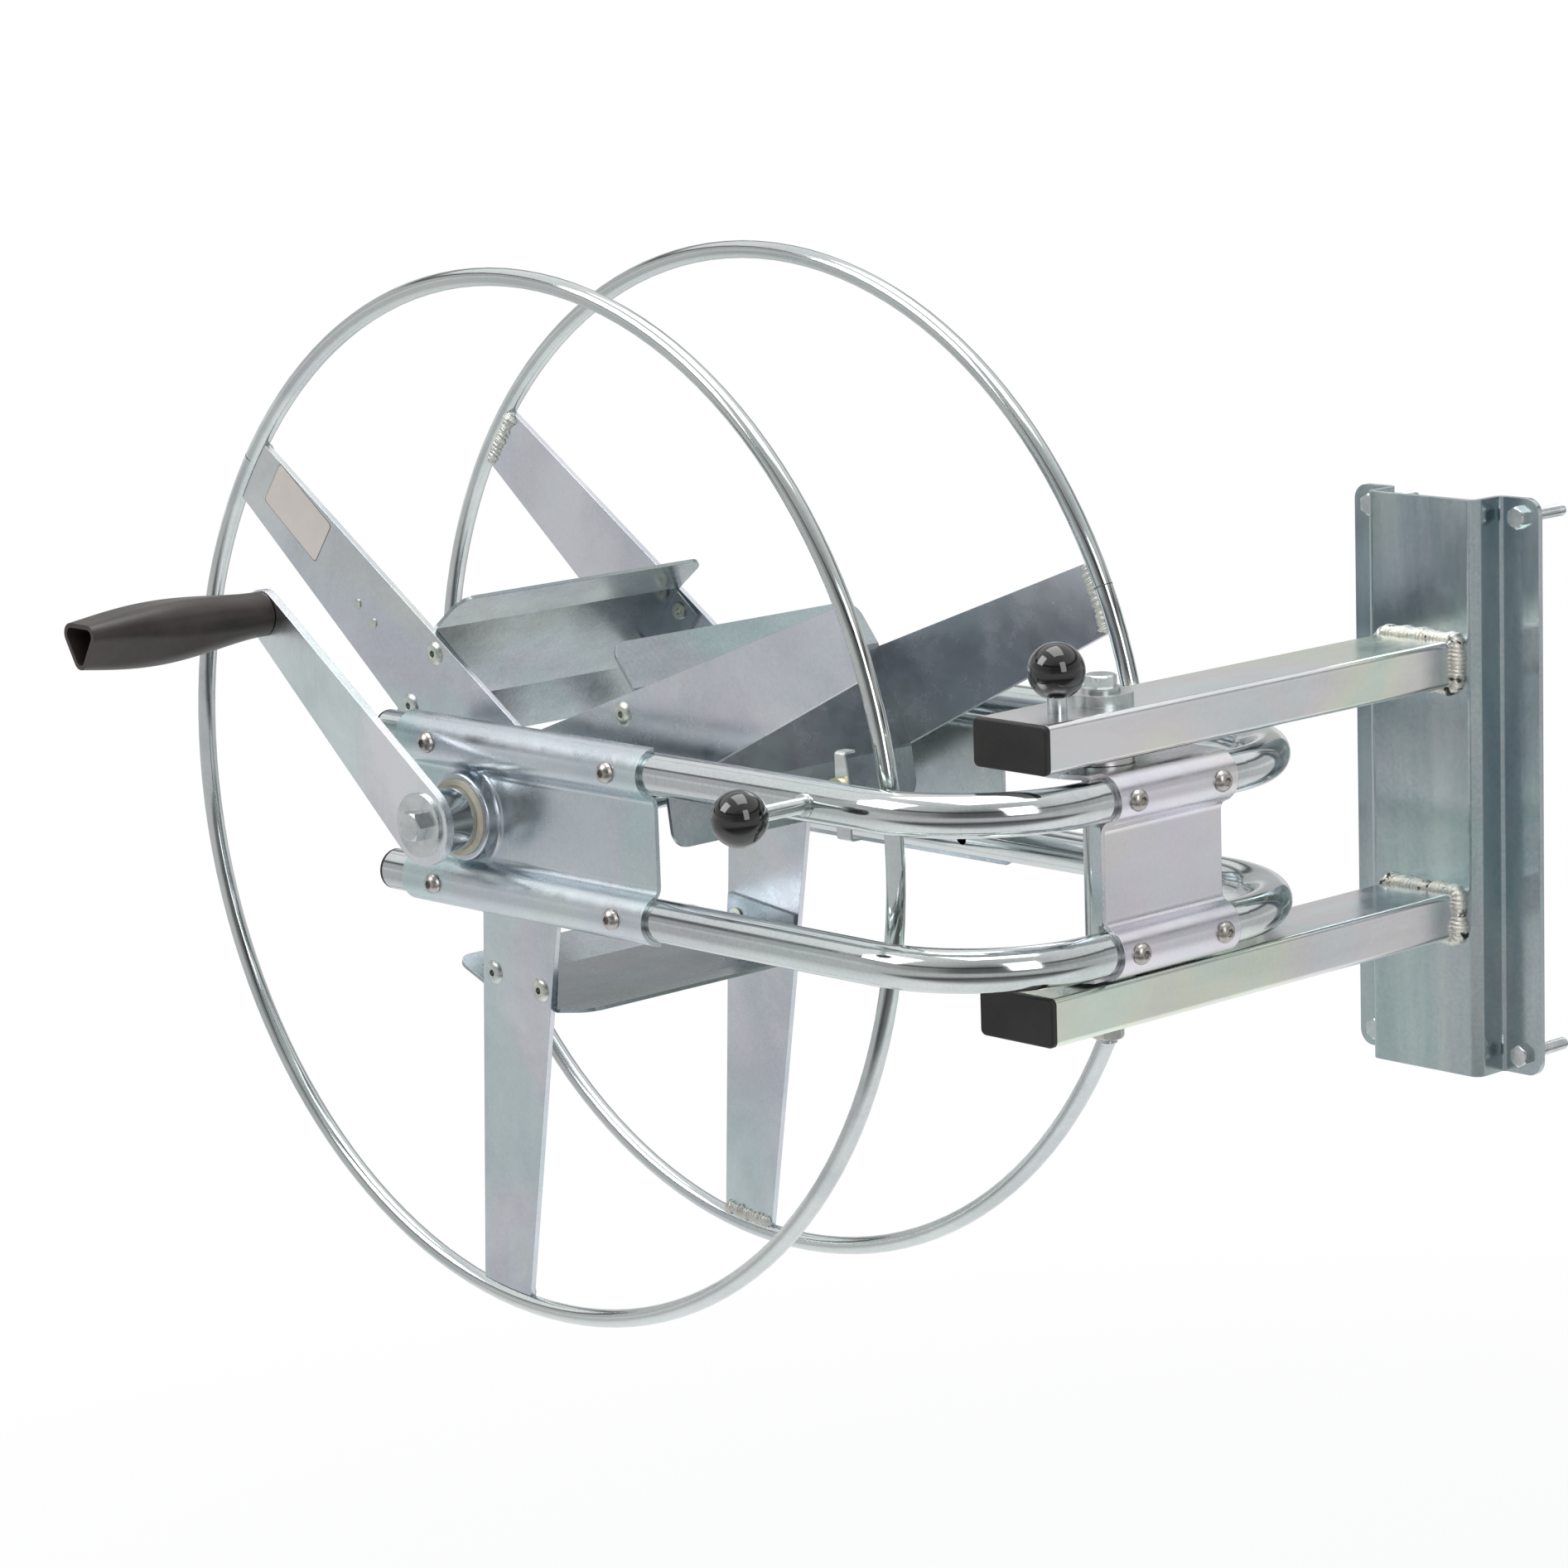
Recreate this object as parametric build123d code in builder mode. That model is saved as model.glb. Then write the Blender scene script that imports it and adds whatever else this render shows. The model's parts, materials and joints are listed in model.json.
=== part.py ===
from build123d import *
import math
import os

os.makedirs("parts", exist_ok=True)

# Wall mounted hose reel, in millimetres.
# Origin: centre of the wall bracket's back face. +Z is up and the wall is on the +Y side.
# X = 0 is the centre line of the bracket, the arms and the pivot. The reel hangs to the -X side.

# Fits
fit_gap = 0.1
running_gap = 0.05
play = 0.3
weld_gap = 0.1
bolt_play = 0.5

# Placement of the reel
pivot_to_wall = 330.0
pivot_to_hub = 434.0
reel_setback = 23.0
frame_drop = 2.0
reel_spacing = 222.0

# Wall bracket
bracket_height = 375.0
bracket_width = 150.0
bracket_web_width = 90.0
bracket_depth = 30.0
bracket_sheet = 4.0
bracket_bend = 5.0
bracket_corner = 10.0
wall_bolt_side_margin = 15.0
wall_bolt_end_margin = 12.5
wall_bolt_diameter = 8.0
wall_bolt_neck_diameter = 6.8
wall_bolt_reach = 40.0

# Arms
arm_spacing = 164.0
arm_width = 60.0
arm_height = 30.0
arm_wall = 3.0
arm_corner = 4.0
arm_overhang = 76.0
cap_head = 4.0
cap_depth = 18.0
cap_wall = 2.5
cap_edge = 1.5

# Frame tubes
tube_diameter = 26.9
tube_wall = 2.0
tube_spacing = 93.4
frame_span = 310.0
tube_bend_radius = 90.0
tube_tail = 81.5
plug_head = 3.0
plug_depth = 15.0
plug_wall = 2.0

# Pivot
pivot_bolt_diameter = 12.0
pivot_tube_diameter = 25.0
pivot_washer_diameter = 40.0
pivot_washer_thickness = 7.0
spring_washer_diameter = 24.0
spring_washer_thickness = 3.0
spring_washer_split_width = 1.2
nut_washer_diameter = 26.0
nut_washer_thickness = 2.5
pivot_bolt_tail = 4.0
thrust_washer_diameter = 40.0

# Pressed sheets that hold the tubes
sheet = 3.0
press_radius = 8.0
clamp_width = 104.0
clamp_screw_spacing = 75.0
nose_margin = 8.5
lock_radius = 38.0
backing_bar_thickness = 8.0
backing_bar_height = 60.0
plate_left_length = 57.0
plate_right_length = 178.0
plate_screw_left = 25.0
plate_screw_right = 150.0

# Bearings and reel shaft
shaft_diameter = 42.4
shaft_wall = 3.2
bush_diameter = 50.0
bush_flange_diameter = 60.0
bush_flange = 3.0
bush_proud = 2.0
collar_wall = 4.0
collar_height = 11.5
collar_fillet = 4.0
shaft_reach_near = 24.0
shaft_reach_far = 0.6
shaft_plug_length = 14.0
end_washer_diameter = 54.0
end_washer_thickness = 4.0

# Reel
ring_radius = 344.0
ring_bar = 12.0
spider_sheet = 4.0
spoke_angle = 23.5
spoke_count = 3
spoke_root_width = 82.0
spoke_tip_width = 46.8
spoke_trim_length = 1.0
drum_sheet = 2.5
drum_radius = 135.0
drum_flat_width = 72.0
drum_width = 138.0
drum_flare_depth = 9.0
drum_corner = 12.0
tab_width = 66.0
tab_depth = 26.0
rivet_radius = 122.0
rivet_spacing = 47.0
rivet_head = 16.5
rivet_dome = 2.4
rivet_shank = 8.0
rivet_bore = 4.6
rivet_tail = 12.0
rivet_tail_height = 1.4
spoke_rivet_head = 7.0
spoke_rivet_height = 0.7
spoke_rivet_shank = 5.0
spoke_rivet_reach = 201.6
spoke_rivet_spacing = 19.8
spoke_rivet_offset = 2.7

# Crank and grip
crank_angle = 141.6
crank_length = 198.5
crank_sheet = 6.0
crank_hub_radius = 27.0
crank_tip_radius = 16.0
crank_bolt_diameter = 12.0
crank_washer_diameter = 42.0
crank_washer_thickness = 2.0
grip_length = 146.0
grip_end_gap = 0.5
grip_inner_radius = 15.0
grip_rise_radius = 19.1
grip_mid_radius = 22.5
grip_fall_radius = 20.8
grip_outer_radius = 17.5
grip_wall = 3.0
grip_recess_depth = 60.0
grip_pin_diameter = 10.0
grip_pin_head = 15.0
grip_pin_head_height = 4.5
grip_pin_head_top = 4.5
grip_pin_tail_length = 3.0
grip_washer_diameter = 17.0
grip_washer_thickness = 1.5

# Locks
knob_diameter = 35.0
knob_foot = 15.0
knob_bore_depth = 18.0
swivel_pin_diameter = 12.0
swivel_pin_gap = 0.6
swivel_pin_chamfer = 1.0
swivel_knob_stand_height = 24.4
reel_lock_inset = 18.0
reel_pin_diameter = 10.0
reel_knob_reach = 66.0
lock_collar_diameter = 14.0
lock_collar_proud = 1.5
lock_guide_diameter = 24.0
lock_guide_thickness = 5.0
lock_guide_edge = 2.0
catch_sheet = 1.5
catch_width = 12.0
catch_gap = 51.6
catch_lip = 9.0
catch_bend = 2.0
catch_clearance = 2.0
stop_bolt_diameter = 8.0
stop_bolt_above = 5.0
slot_play = 0.5

# Button head screws
screw_diameter = 8.0
screw_head = 14.0
screw_head_height = 4.3
screw_head_top = 6.3
screw_length = 12.0
screw_socket = 5.0
screw_socket_depth = 2.4

# Hexagon bolts and nuts: their sizes as shares of the thread's diameter, and the slope of their crowns
hex_across_share = 1.5
hex_across_share_m8 = 1.625
hex_head_share = 0.63
hex_nut_share = 0.83
hex_face_share = 0.95
hex_crown_angle = 30.0

# Round heads: the shares of the radius and the height that their crowns pass through
crown_out_share = 0.8
crown_up_share = 0.65

# Crank grip: where its sections stand along it, and how round its two ends are, as shares
grip_rise_share = 0.3
grip_peak_share = 0.58
grip_fall_share = 0.82
grip_inner_roundness = 0.97
grip_outer_roundness = 0.42

# Places that follow from the sizes above
wall_bolt_spacing_x = bracket_width - 2 * wall_bolt_side_margin
wall_bolt_spacing_z = bracket_height - 2 * wall_bolt_end_margin
pivot_y = -pivot_to_wall
hub_x = -pivot_to_hub
hub_z = -frame_drop
reel_y = pivot_y + reel_setback
near_ring_y = reel_y - reel_spacing / 2
far_ring_y = reel_y + reel_spacing / 2
tube_r = tube_diameter / 2
tube_x = tube_r + pivot_tube_diameter / 2 + running_gap
near_leg_y = reel_y - frame_span / 2
far_leg_y = reel_y + frame_span / 2
tube_end_x = hub_x - tube_tail
upper_tube_z = hub_z + tube_spacing / 2
lower_tube_z = hub_z - tube_spacing / 2
upper_arm_z = arm_spacing / 2
lower_arm_z = -arm_spacing / 2
arm_end_y = pivot_y - arm_overhang
groove_r = tube_r + fit_gap + sheet / 2
wrap = math.degrees(math.acos(press_radius / (groove_r + press_radius)))
flange_level = tube_spacing / 2 + tube_r + fit_gap
flange_top = hub_z + flange_level + sheet
flange_bottom = hub_z - flange_level - sheet
nose_radius = lock_radius + nose_margin
upper_gap = upper_arm_z - arm_height / 2 - flange_top
lower_gap = flange_bottom - (lower_arm_z + arm_height / 2)
lock_y = pivot_y - lock_radius
bush_reach = frame_span / 2 + sheet / 2 + collar_height + bush_proud
shaft_near_y = reel_y - bush_reach - shaft_reach_near
shaft_far_y = reel_y + bush_reach + shaft_reach_far
crank_face_y = shaft_near_y - crank_sheet
grip_x = hub_x + crank_length * math.cos(math.radians(crank_angle))
grip_z = hub_z + crank_length * math.sin(math.radians(crank_angle))
grip_start_y = crank_face_y - grip_end_gap
grip_end_y = grip_start_y - grip_length
recess_floor_y = grip_end_y + grip_recess_depth
lock_x = hub_x + ring_radius - reel_lock_inset
lock_guide_y = near_leg_y + tube_r
catch_y = lock_guide_y + lock_guide_thickness + play
reel_knob_y = near_leg_y - reel_knob_reach
spoke_angles = [spoke_angle + step * 360 / spoke_count for step in range(spoke_count)]


def facing_wall(x, y, z):
    """Plane square to Y at a point, with its local x along +X and local y along +Z."""
    return Plane(origin=(x, y, z), x_dir=(1, 0, 0), z_dir=(0, -1, 0))


def turned(angle, y):
    """Plane square to Y on the reel's axis, with its local x along a spoke."""
    radians = math.radians(angle)
    return Plane(origin=(hub_x, y, hub_z), x_dir=(math.cos(radians), 0, math.sin(radians)), z_dir=(0, -1, 0))


def pressed_line():
    """Middle line of a sheet pressed over two tubes, with a flat web between them."""
    upper = JernArc((0, tube_spacing / 2 + groove_r), (1, 0), groove_r, -(90 + wrap))
    upper_turn = JernArc(upper @ 1, upper % 1, press_radius, wrap)
    web = Line(upper_turn @ 1, (0, -(upper_turn @ 1).Y))
    lower_turn = JernArc(web @ 1, web % 1, press_radius, wrap)
    JernArc(lower_turn @ 1, lower_turn % 1, groove_r, -(90 + wrap))


def hexagon(across, height):
    """Head of a hexagon bolt along +Z, its seat at the origin and its crown chamfered."""
    corner = across / math.sqrt(3)
    face = across / 2 * hex_face_share
    shoulder = height - (corner - face) * math.tan(math.radians(hex_crown_angle))
    with BuildPart() as head:
        with BuildSketch():
            RegularPolygon(across / 2, 6, major_radius=False)
        extrude(amount=height)
        with BuildSketch(Plane.XZ):
            Polygon((0, 0), (corner, 0), (corner, shoulder), (face, height), (0, height), align=None)
        revolve(axis=Axis.Z, mode=Mode.INTERSECT)
    return head.part


def crown(radius, height, top_diameter):
    """Rounded side of a round head, from its rim to its top."""
    side = (radius * crown_out_share, height * crown_up_share)
    return ThreePointArc((radius, 0), side, (top_diameter / 2, height))


# Wall bracket: hat section with four bolt holes
with BuildPart() as wall_bracket:
    with BuildSketch(Plane.XY.offset(-bracket_height / 2)):
        with BuildLine():
            foot = bracket_width / 2
            leg = (bracket_web_width - bracket_sheet) / 2
            back = -bracket_sheet / 2
            front = -bracket_depth + bracket_sheet / 2
            FilletPolyline(
                (-foot, back), (-leg, back), (-leg, front), (leg, front), (leg, back), (foot, back),
                radius=bracket_bend,
            )
        trace(line_width=bracket_sheet)
    extrude(amount=bracket_height)
    side_edges = wall_bracket.edges().filter_by(Axis.Y)
    outer_edges = side_edges.sort_by(Axis.X)[:2] + side_edges.sort_by(Axis.X)[-2:]
    fillet(outer_edges, radius=bracket_corner)
    with BuildSketch(facing_wall(0, 0, 0)):
        with GridLocations(wall_bolt_spacing_x, wall_bolt_spacing_z, 2, 2):
            Circle(wall_bolt_diameter / 2 + bolt_play)
    extrude(amount=bracket_sheet, mode=Mode.SUBTRACT)
wall_bracket.part.label = "wall_bracket"
export_step(wall_bracket.part, "parts/wall_bracket.step")

# Wall bolts: hexagon heads and waisted necks in the flanges, shanks standing out of the bracket's back
with BuildPart() as wall_bolts:
    with Locations(facing_wall(0, -bracket_sheet, 0)):
        with GridLocations(wall_bolt_spacing_x, wall_bolt_spacing_z, 2, 2):
            add(hexagon(wall_bolt_diameter * hex_across_share_m8, wall_bolt_diameter * hex_head_share))
    with BuildSketch(facing_wall(0, -bracket_sheet, 0)):
        with GridLocations(wall_bolt_spacing_x, wall_bolt_spacing_z, 2, 2):
            Circle(wall_bolt_neck_diameter / 2)
    extrude(amount=-bracket_sheet)
    with BuildSketch(facing_wall(0, 0, 0)):
        with GridLocations(wall_bolt_spacing_x, wall_bolt_spacing_z, 2, 2):
            Circle(wall_bolt_diameter / 2)
    extrude(amount=-wall_bolt_reach)
wall_bolts.part.label = "wall_bolts"
export_step(wall_bolts.part, "parts/wall_bolts.step")

# Arms: rectangular tubes from the bracket's web to past the pivot
arm_length = arm_overhang + pivot_to_wall - bracket_depth - weld_gap
for arm_name, arm_z in (("upper_arm", upper_arm_z), ("lower_arm", lower_arm_z)):
    with BuildPart() as arm:
        with BuildSketch(facing_wall(0, arm_end_y, arm_z)):
            RectangleRounded(arm_width, arm_height, arm_corner)
            RectangleRounded(
                arm_width - 2 * arm_wall, arm_height - 2 * arm_wall, arm_corner - arm_wall / 2,
                mode=Mode.SUBTRACT,
            )
        extrude(amount=-arm_length)
        with Locations((0, pivot_y, arm_z)):
            Hole(pivot_bolt_diameter / 2 + bolt_play, depth=arm_height)
        with Locations((0, lock_y, arm_z)):
            if arm_name == "upper_arm":
                Hole(swivel_pin_diameter / 2 + running_gap, depth=arm_height)
            else:
                Hole(stop_bolt_diameter / 2 + fit_gap, depth=arm_height)
    arm.part.label = arm_name
    export_step(arm.part, f"parts/{arm_name}.step")

# Arm end caps: a flat head with a skirt inside each arm
with BuildPart() as arm_end_caps:
    for cap_z in (upper_arm_z, lower_arm_z):
        inner_width = arm_width - 2 * arm_wall - 2 * fit_gap
        inner_height = arm_height - 2 * arm_wall - 2 * fit_gap
        with BuildSketch(facing_wall(0, arm_end_y, cap_z)):
            RectangleRounded(arm_width, arm_height, arm_corner)
        extrude(amount=cap_head)
        with BuildSketch(facing_wall(0, arm_end_y, cap_z)):
            RectangleRounded(inner_width, inner_height, arm_corner - arm_wall / 2)
            Rectangle(inner_width - 2 * cap_wall, inner_height - 2 * cap_wall, mode=Mode.SUBTRACT)
        extrude(amount=-cap_depth)
    cap_faces = arm_end_caps.faces().filter_by(Axis.Y).sort_by(Axis.Y)[:2]
    fillet(cap_faces.edges(), radius=cap_edge)
arm_end_caps.part.label = "arm_end_caps"
export_step(arm_end_caps.part, "parts/arm_end_caps.step")

# Pivot bolt: hexagon head above the upper arm, shank down through both arms
arm_top = upper_arm_z + arm_height / 2
arm_bottom = lower_arm_z - arm_height / 2
bolt_head_z = arm_top + pivot_washer_thickness + spring_washer_thickness
nut_top_z = arm_bottom - nut_washer_thickness
nut_bottom_z = nut_top_z - pivot_bolt_diameter * hex_nut_share
with BuildPart() as pivot_bolt:
    with Locations((0, pivot_y, bolt_head_z)):
        add(hexagon(pivot_bolt_diameter * hex_across_share, pivot_bolt_diameter * hex_head_share))
    with BuildSketch(Plane(origin=(0, pivot_y, nut_bottom_z - pivot_bolt_tail))):
        Circle(pivot_bolt_diameter / 2)
    extrude(amount=bolt_head_z - nut_bottom_z + pivot_bolt_tail)
pivot_bolt.part.label = "pivot_bolt"
export_step(pivot_bolt.part, "parts/pivot_bolt.step")

# Pivot nut
with BuildPart() as pivot_nut:
    with Locations(Plane(origin=(0, pivot_y, nut_top_z), x_dir=(1, 0, 0), z_dir=(0, 0, -1))):
        add(hexagon(pivot_bolt_diameter * hex_across_share, nut_top_z - nut_bottom_z))
    with BuildSketch(Plane(origin=(0, pivot_y, nut_bottom_z))):
        Circle(pivot_bolt_diameter / 2 + running_gap)
    extrude(amount=nut_top_z - nut_bottom_z, mode=Mode.SUBTRACT)
pivot_nut.part.label = "pivot_nut"
export_step(pivot_nut.part, "parts/pivot_nut.step")

# Washers on the pivot bolt: name, underside, thickness, diameter
pivot_washers = (
    ("pivot_washer", arm_top, pivot_washer_thickness, pivot_washer_diameter),
    ("pivot_nut_washer", nut_top_z, nut_washer_thickness, nut_washer_diameter),
    ("upper_thrust_washer", flange_top + play, upper_gap - play, thrust_washer_diameter),
    ("lower_thrust_washer", flange_bottom - lower_gap, lower_gap, thrust_washer_diameter),
)
for washer_name, washer_z, washer_thickness, washer_diameter in pivot_washers:
    with BuildPart() as washer:
        with BuildSketch(Plane(origin=(0, pivot_y, washer_z))):
            Circle(washer_diameter / 2)
            Circle(pivot_bolt_diameter / 2 + fit_gap, mode=Mode.SUBTRACT)
        extrude(amount=washer_thickness)
    washer.part.label = washer_name
    export_step(washer.part, f"parts/{washer_name}.step")

# Spring washer: a flat ring with its split
with BuildPart() as pivot_spring_washer:
    with BuildSketch(Plane(origin=(0, pivot_y, arm_top + pivot_washer_thickness))):
        Circle(spring_washer_diameter / 2)
        Circle(pivot_bolt_diameter / 2 + fit_gap, mode=Mode.SUBTRACT)
        with Locations((-spring_washer_diameter / 2, 0)):
            Rectangle(spring_washer_diameter, spring_washer_split_width, mode=Mode.SUBTRACT)
    extrude(amount=spring_washer_thickness)
pivot_spring_washer.part.label = "pivot_spring_washer"
export_step(pivot_spring_washer.part, "parts/pivot_spring_washer.step")

# Swing stop bolt: screwed up through the lower arm into the curved slot of the clamp plate
stop_bolt_top_z = flange_bottom + sheet + stop_bolt_above
with BuildPart() as swing_stop_bolt:
    with Locations(Plane(origin=(0, lock_y, arm_bottom), x_dir=(1, 0, 0), z_dir=(0, 0, -1))):
        add(hexagon(stop_bolt_diameter * hex_across_share_m8, stop_bolt_diameter * hex_head_share))
    with BuildSketch(Plane(origin=(0, lock_y, arm_bottom))):
        Circle(stop_bolt_diameter / 2)
    extrude(amount=stop_bolt_top_z - arm_bottom)
swing_stop_bolt.part.label = "swing_stop_bolt"
export_step(swing_stop_bolt.part, "parts/swing_stop_bolt.step")

# Frame tubes: two U bends, open ends on the hub side, drilled for their screws and locks
for tube_name, tube_z in (("upper_frame_tube", upper_tube_z), ("lower_frame_tube", lower_tube_z)):
    with BuildPart() as tube:
        with BuildLine(Plane.XY.offset(tube_z)) as tube_path:
            FilletPolyline(
                (tube_end_x, near_leg_y), (tube_x, near_leg_y), (tube_x, far_leg_y), (tube_end_x, far_leg_y),
                radius=tube_bend_radius,
            )
        with BuildSketch(Plane(origin=(tube_end_x, near_leg_y, tube_z), z_dir=(1, 0, 0))):
            Circle(tube_r)
            Circle(tube_r - tube_wall, mode=Mode.SUBTRACT)
        sweep(path=tube_path.line)
        with BuildSketch(facing_wall(0, reel_y, tube_z)):
            for screw_x in (hub_x - plate_screw_left, hub_x + plate_screw_right):
                with Locations((screw_x, 0)):
                    Circle(screw_diameter / 2 + fit_gap)
        extrude(amount=frame_span / 2 + tube_diameter, both=True, mode=Mode.SUBTRACT)
        with BuildSketch(Plane(origin=(tube_x, reel_y, tube_z), x_dir=(0, 1, 0), z_dir=(1, 0, 0))):
            with GridLocations(clamp_screw_spacing, 0, 2, 1):
                Circle(screw_diameter / 2 + fit_gap)
        extrude(amount=tube_diameter, mode=Mode.SUBTRACT)
        if tube_name == "upper_frame_tube":
            with BuildSketch(facing_wall(lock_x, near_leg_y + tube_diameter, tube_z)):
                Circle(lock_collar_diameter / 2 + fit_gap)
            extrude(amount=2 * tube_diameter, mode=Mode.SUBTRACT)
    tube.part.label = tube_name
    export_step(tube.part, f"parts/{tube_name}.step")

# Tube end plugs: domed head and hollow stem
with BuildPart() as tube_end_plugs:
    for plug_y in (near_leg_y, far_leg_y):
        for plug_z in (upper_tube_z, lower_tube_z):
            with BuildSketch(Plane(origin=(tube_end_x, plug_y, plug_z), z_dir=(-1, 0, 0))):
                Circle(tube_r)
            extrude(amount=plug_head)
            with BuildSketch(Plane(origin=(tube_end_x, plug_y, plug_z), z_dir=(1, 0, 0))):
                Circle(tube_r - tube_wall - fit_gap)
                Circle(tube_r - tube_wall - plug_wall, mode=Mode.SUBTRACT)
            extrude(amount=plug_depth)
    plug_faces = tube_end_plugs.faces().filter_by(Axis.X).sort_by(Axis.X)[:4]
    fillet(plug_faces.edges(), radius=plug_head / 2)
tube_end_plugs.part.label = "tube_end_plugs"
export_step(tube_end_plugs.part, "parts/tube_end_plugs.step")

# Clamp plate: pressed over the outer half of both tubes, with a flange above and below the pivot tube.
# The upper flange has the lock holes, the lower one the curved slot of the swing stop.
clamp_start = reel_y - clamp_width / 2
with BuildPart() as clamp_plate:
    with BuildSketch(Plane(origin=(tube_x, clamp_start, hub_z), x_dir=(1, 0, 0), z_dir=(0, 1, 0))):
        with BuildLine():
            pressed_line()
        trace(line_width=sheet)
    extrude(amount=clamp_width)
    for flange_z in (hub_z + flange_level, hub_z - flange_level - sheet):
        with BuildSketch(Plane(origin=(0, pivot_y, flange_z))):
            Circle(nose_radius)
            with Locations((tube_x / 2, reel_setback)):
                Rectangle(tube_x, clamp_width)
            Circle(pivot_bolt_diameter / 2 + bolt_play, mode=Mode.SUBTRACT)
            if flange_z > hub_z:
                with PolarLocations(lock_radius, 3, start_angle=90, angular_range=180, endpoint=True):
                    Circle(swivel_pin_diameter / 2 + fit_gap, mode=Mode.SUBTRACT)
            with Locations((tube_x + nose_radius / 2, 0)):
                Rectangle(nose_radius, 2 * nose_radius, mode=Mode.SUBTRACT)
        extrude(amount=sheet)
    slot_half_width = stop_bolt_diameter / 2 + slot_play
    with BuildSketch(Plane(origin=(0, pivot_y, flange_bottom))):
        Circle(lock_radius + slot_half_width)
        Circle(lock_radius - slot_half_width, mode=Mode.SUBTRACT)
        with Locations((nose_radius, 0)):
            Rectangle(2 * nose_radius, 2 * nose_radius, mode=Mode.SUBTRACT)
        with GridLocations(0, 2 * lock_radius, 1, 2):
            Circle(slot_half_width)
    extrude(amount=sheet, mode=Mode.SUBTRACT)
    with BuildSketch(Plane(origin=(tube_x, reel_y, hub_z), x_dir=(0, 1, 0), z_dir=(1, 0, 0))):
        with GridLocations(clamp_screw_spacing, tube_spacing, 2, 2):
            Circle(screw_diameter / 2 + fit_gap)
    extrude(amount=tube_diameter, mode=Mode.SUBTRACT)
clamp_plate.part.label = "clamp_plate"
export_step(clamp_plate.part, "parts/clamp_plate.step")

# Backing bar: flat bar behind the clamp plate's web
bar_x = tube_x - sheet / 2
with BuildPart() as backing_bar:
    with BuildSketch(Plane(origin=(bar_x, reel_y, hub_z), x_dir=(0, 1, 0), z_dir=(-1, 0, 0))):
        Rectangle(clamp_width, backing_bar_height)
    extrude(amount=backing_bar_thickness)
backing_bar.part.label = "backing_bar"
export_step(backing_bar.part, "parts/backing_bar.step")

# Pivot tube: stands between the clamp plate's flanges
with BuildPart() as pivot_tube:
    with BuildSketch(Plane(origin=(0, pivot_y, hub_z - flange_level))):
        Circle(pivot_tube_diameter / 2)
        Circle(pivot_bolt_diameter / 2 + running_gap, mode=Mode.SUBTRACT)
    extrude(amount=2 * flange_level)
pivot_tube.part.label = "pivot_tube"
export_step(pivot_tube.part, "parts/pivot_tube.step")

# Button head screw, made once along +Z with its head's underside at the origin
with BuildPart() as button_screw:
    with BuildSketch(Plane.XZ):
        with BuildLine():
            Polyline(
                (0, -screw_length), (screw_diameter / 2, -screw_length),
                (screw_diameter / 2, 0), (screw_head / 2, 0),
            )
            head_side = crown(screw_head / 2, screw_head_height, screw_head_top)
            Polyline(head_side @ 1, (0, screw_head_height), (0, -screw_length))
        make_face()
    revolve(axis=Axis.Z)
    with BuildSketch(Plane.XY.offset(screw_head_height)):
        RegularPolygon(screw_socket / 2, 6, major_radius=False)
    extrude(amount=-screw_socket_depth, mode=Mode.SUBTRACT)
groove_outer = tube_r + fit_gap + sheet

# Clamp screws
with BuildPart() as clamp_screws:
    with Locations(Plane(origin=(tube_x + groove_outer, reel_y, hub_z), x_dir=(0, 1, 0), z_dir=(1, 0, 0))):
        with GridLocations(clamp_screw_spacing, tube_spacing, 2, 2):
            add(button_screw.part)
clamp_screws.part.label = "clamp_screws"
export_step(clamp_screws.part, "parts/clamp_screws.step")

# Side plates: pressed over the outer half of both legs, with a drawn collar round the reel's axis
plate_length = plate_left_length + plate_right_length
for plate_name, leg_y, out in (("near_side_plate", near_leg_y, -1), ("far_side_plate", far_leg_y, 1)):
    with BuildPart() as side_plate:
        with BuildSketch(Plane(origin=(hub_x - plate_left_length, leg_y, hub_z), x_dir=(0, out, 0), z_dir=(1, 0, 0))):
            with BuildLine():
                pressed_line()
            trace(line_width=sheet)
        extrude(amount=plate_length)
        web_face_y = leg_y + out * sheet / 2
        collar_radius = bush_diameter / 2 + fit_gap + collar_wall
        collar_bore = bush_diameter / 2 + fit_gap
        with BuildSketch(Plane(origin=(hub_x, web_face_y, hub_z), x_dir=(1, 0, 0), z_dir=(0, 0, out))):
            with BuildLine():
                foot_line = Line((collar_bore, 0), (collar_radius + collar_fillet, 0))
                root = JernArc(foot_line @ 1, (-1, 0), collar_fillet, -90)
                wall_line = Line(root @ 1, (collar_radius, collar_height - collar_wall / 2))
                rim = JernArc(wall_line @ 1, (0, 1), collar_wall / 2, 90)
                Polyline(rim @ 1, (collar_bore, collar_height), (collar_bore, 0))
            make_face()
        revolve(axis=Axis((hub_x, 0, hub_z), (0, 1, 0)))
        with BuildSketch(Plane(origin=(hub_x, leg_y, hub_z), z_dir=(0, out, 0))):
            Circle(bush_diameter / 2 + fit_gap)
        extrude(amount=frame_span, both=True, mode=Mode.SUBTRACT)
        with BuildSketch(facing_wall((hub_x + (plate_screw_right - plate_screw_left) / 2), leg_y, hub_z)):
            with GridLocations(plate_screw_left + plate_screw_right, tube_spacing, 2, 2):
                Circle(screw_diameter / 2 + fit_gap)
        extrude(amount=2 * tube_diameter, both=True, mode=Mode.SUBTRACT)
    side_plate.part.label = plate_name
    export_step(side_plate.part, f"parts/{plate_name}.step")

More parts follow.
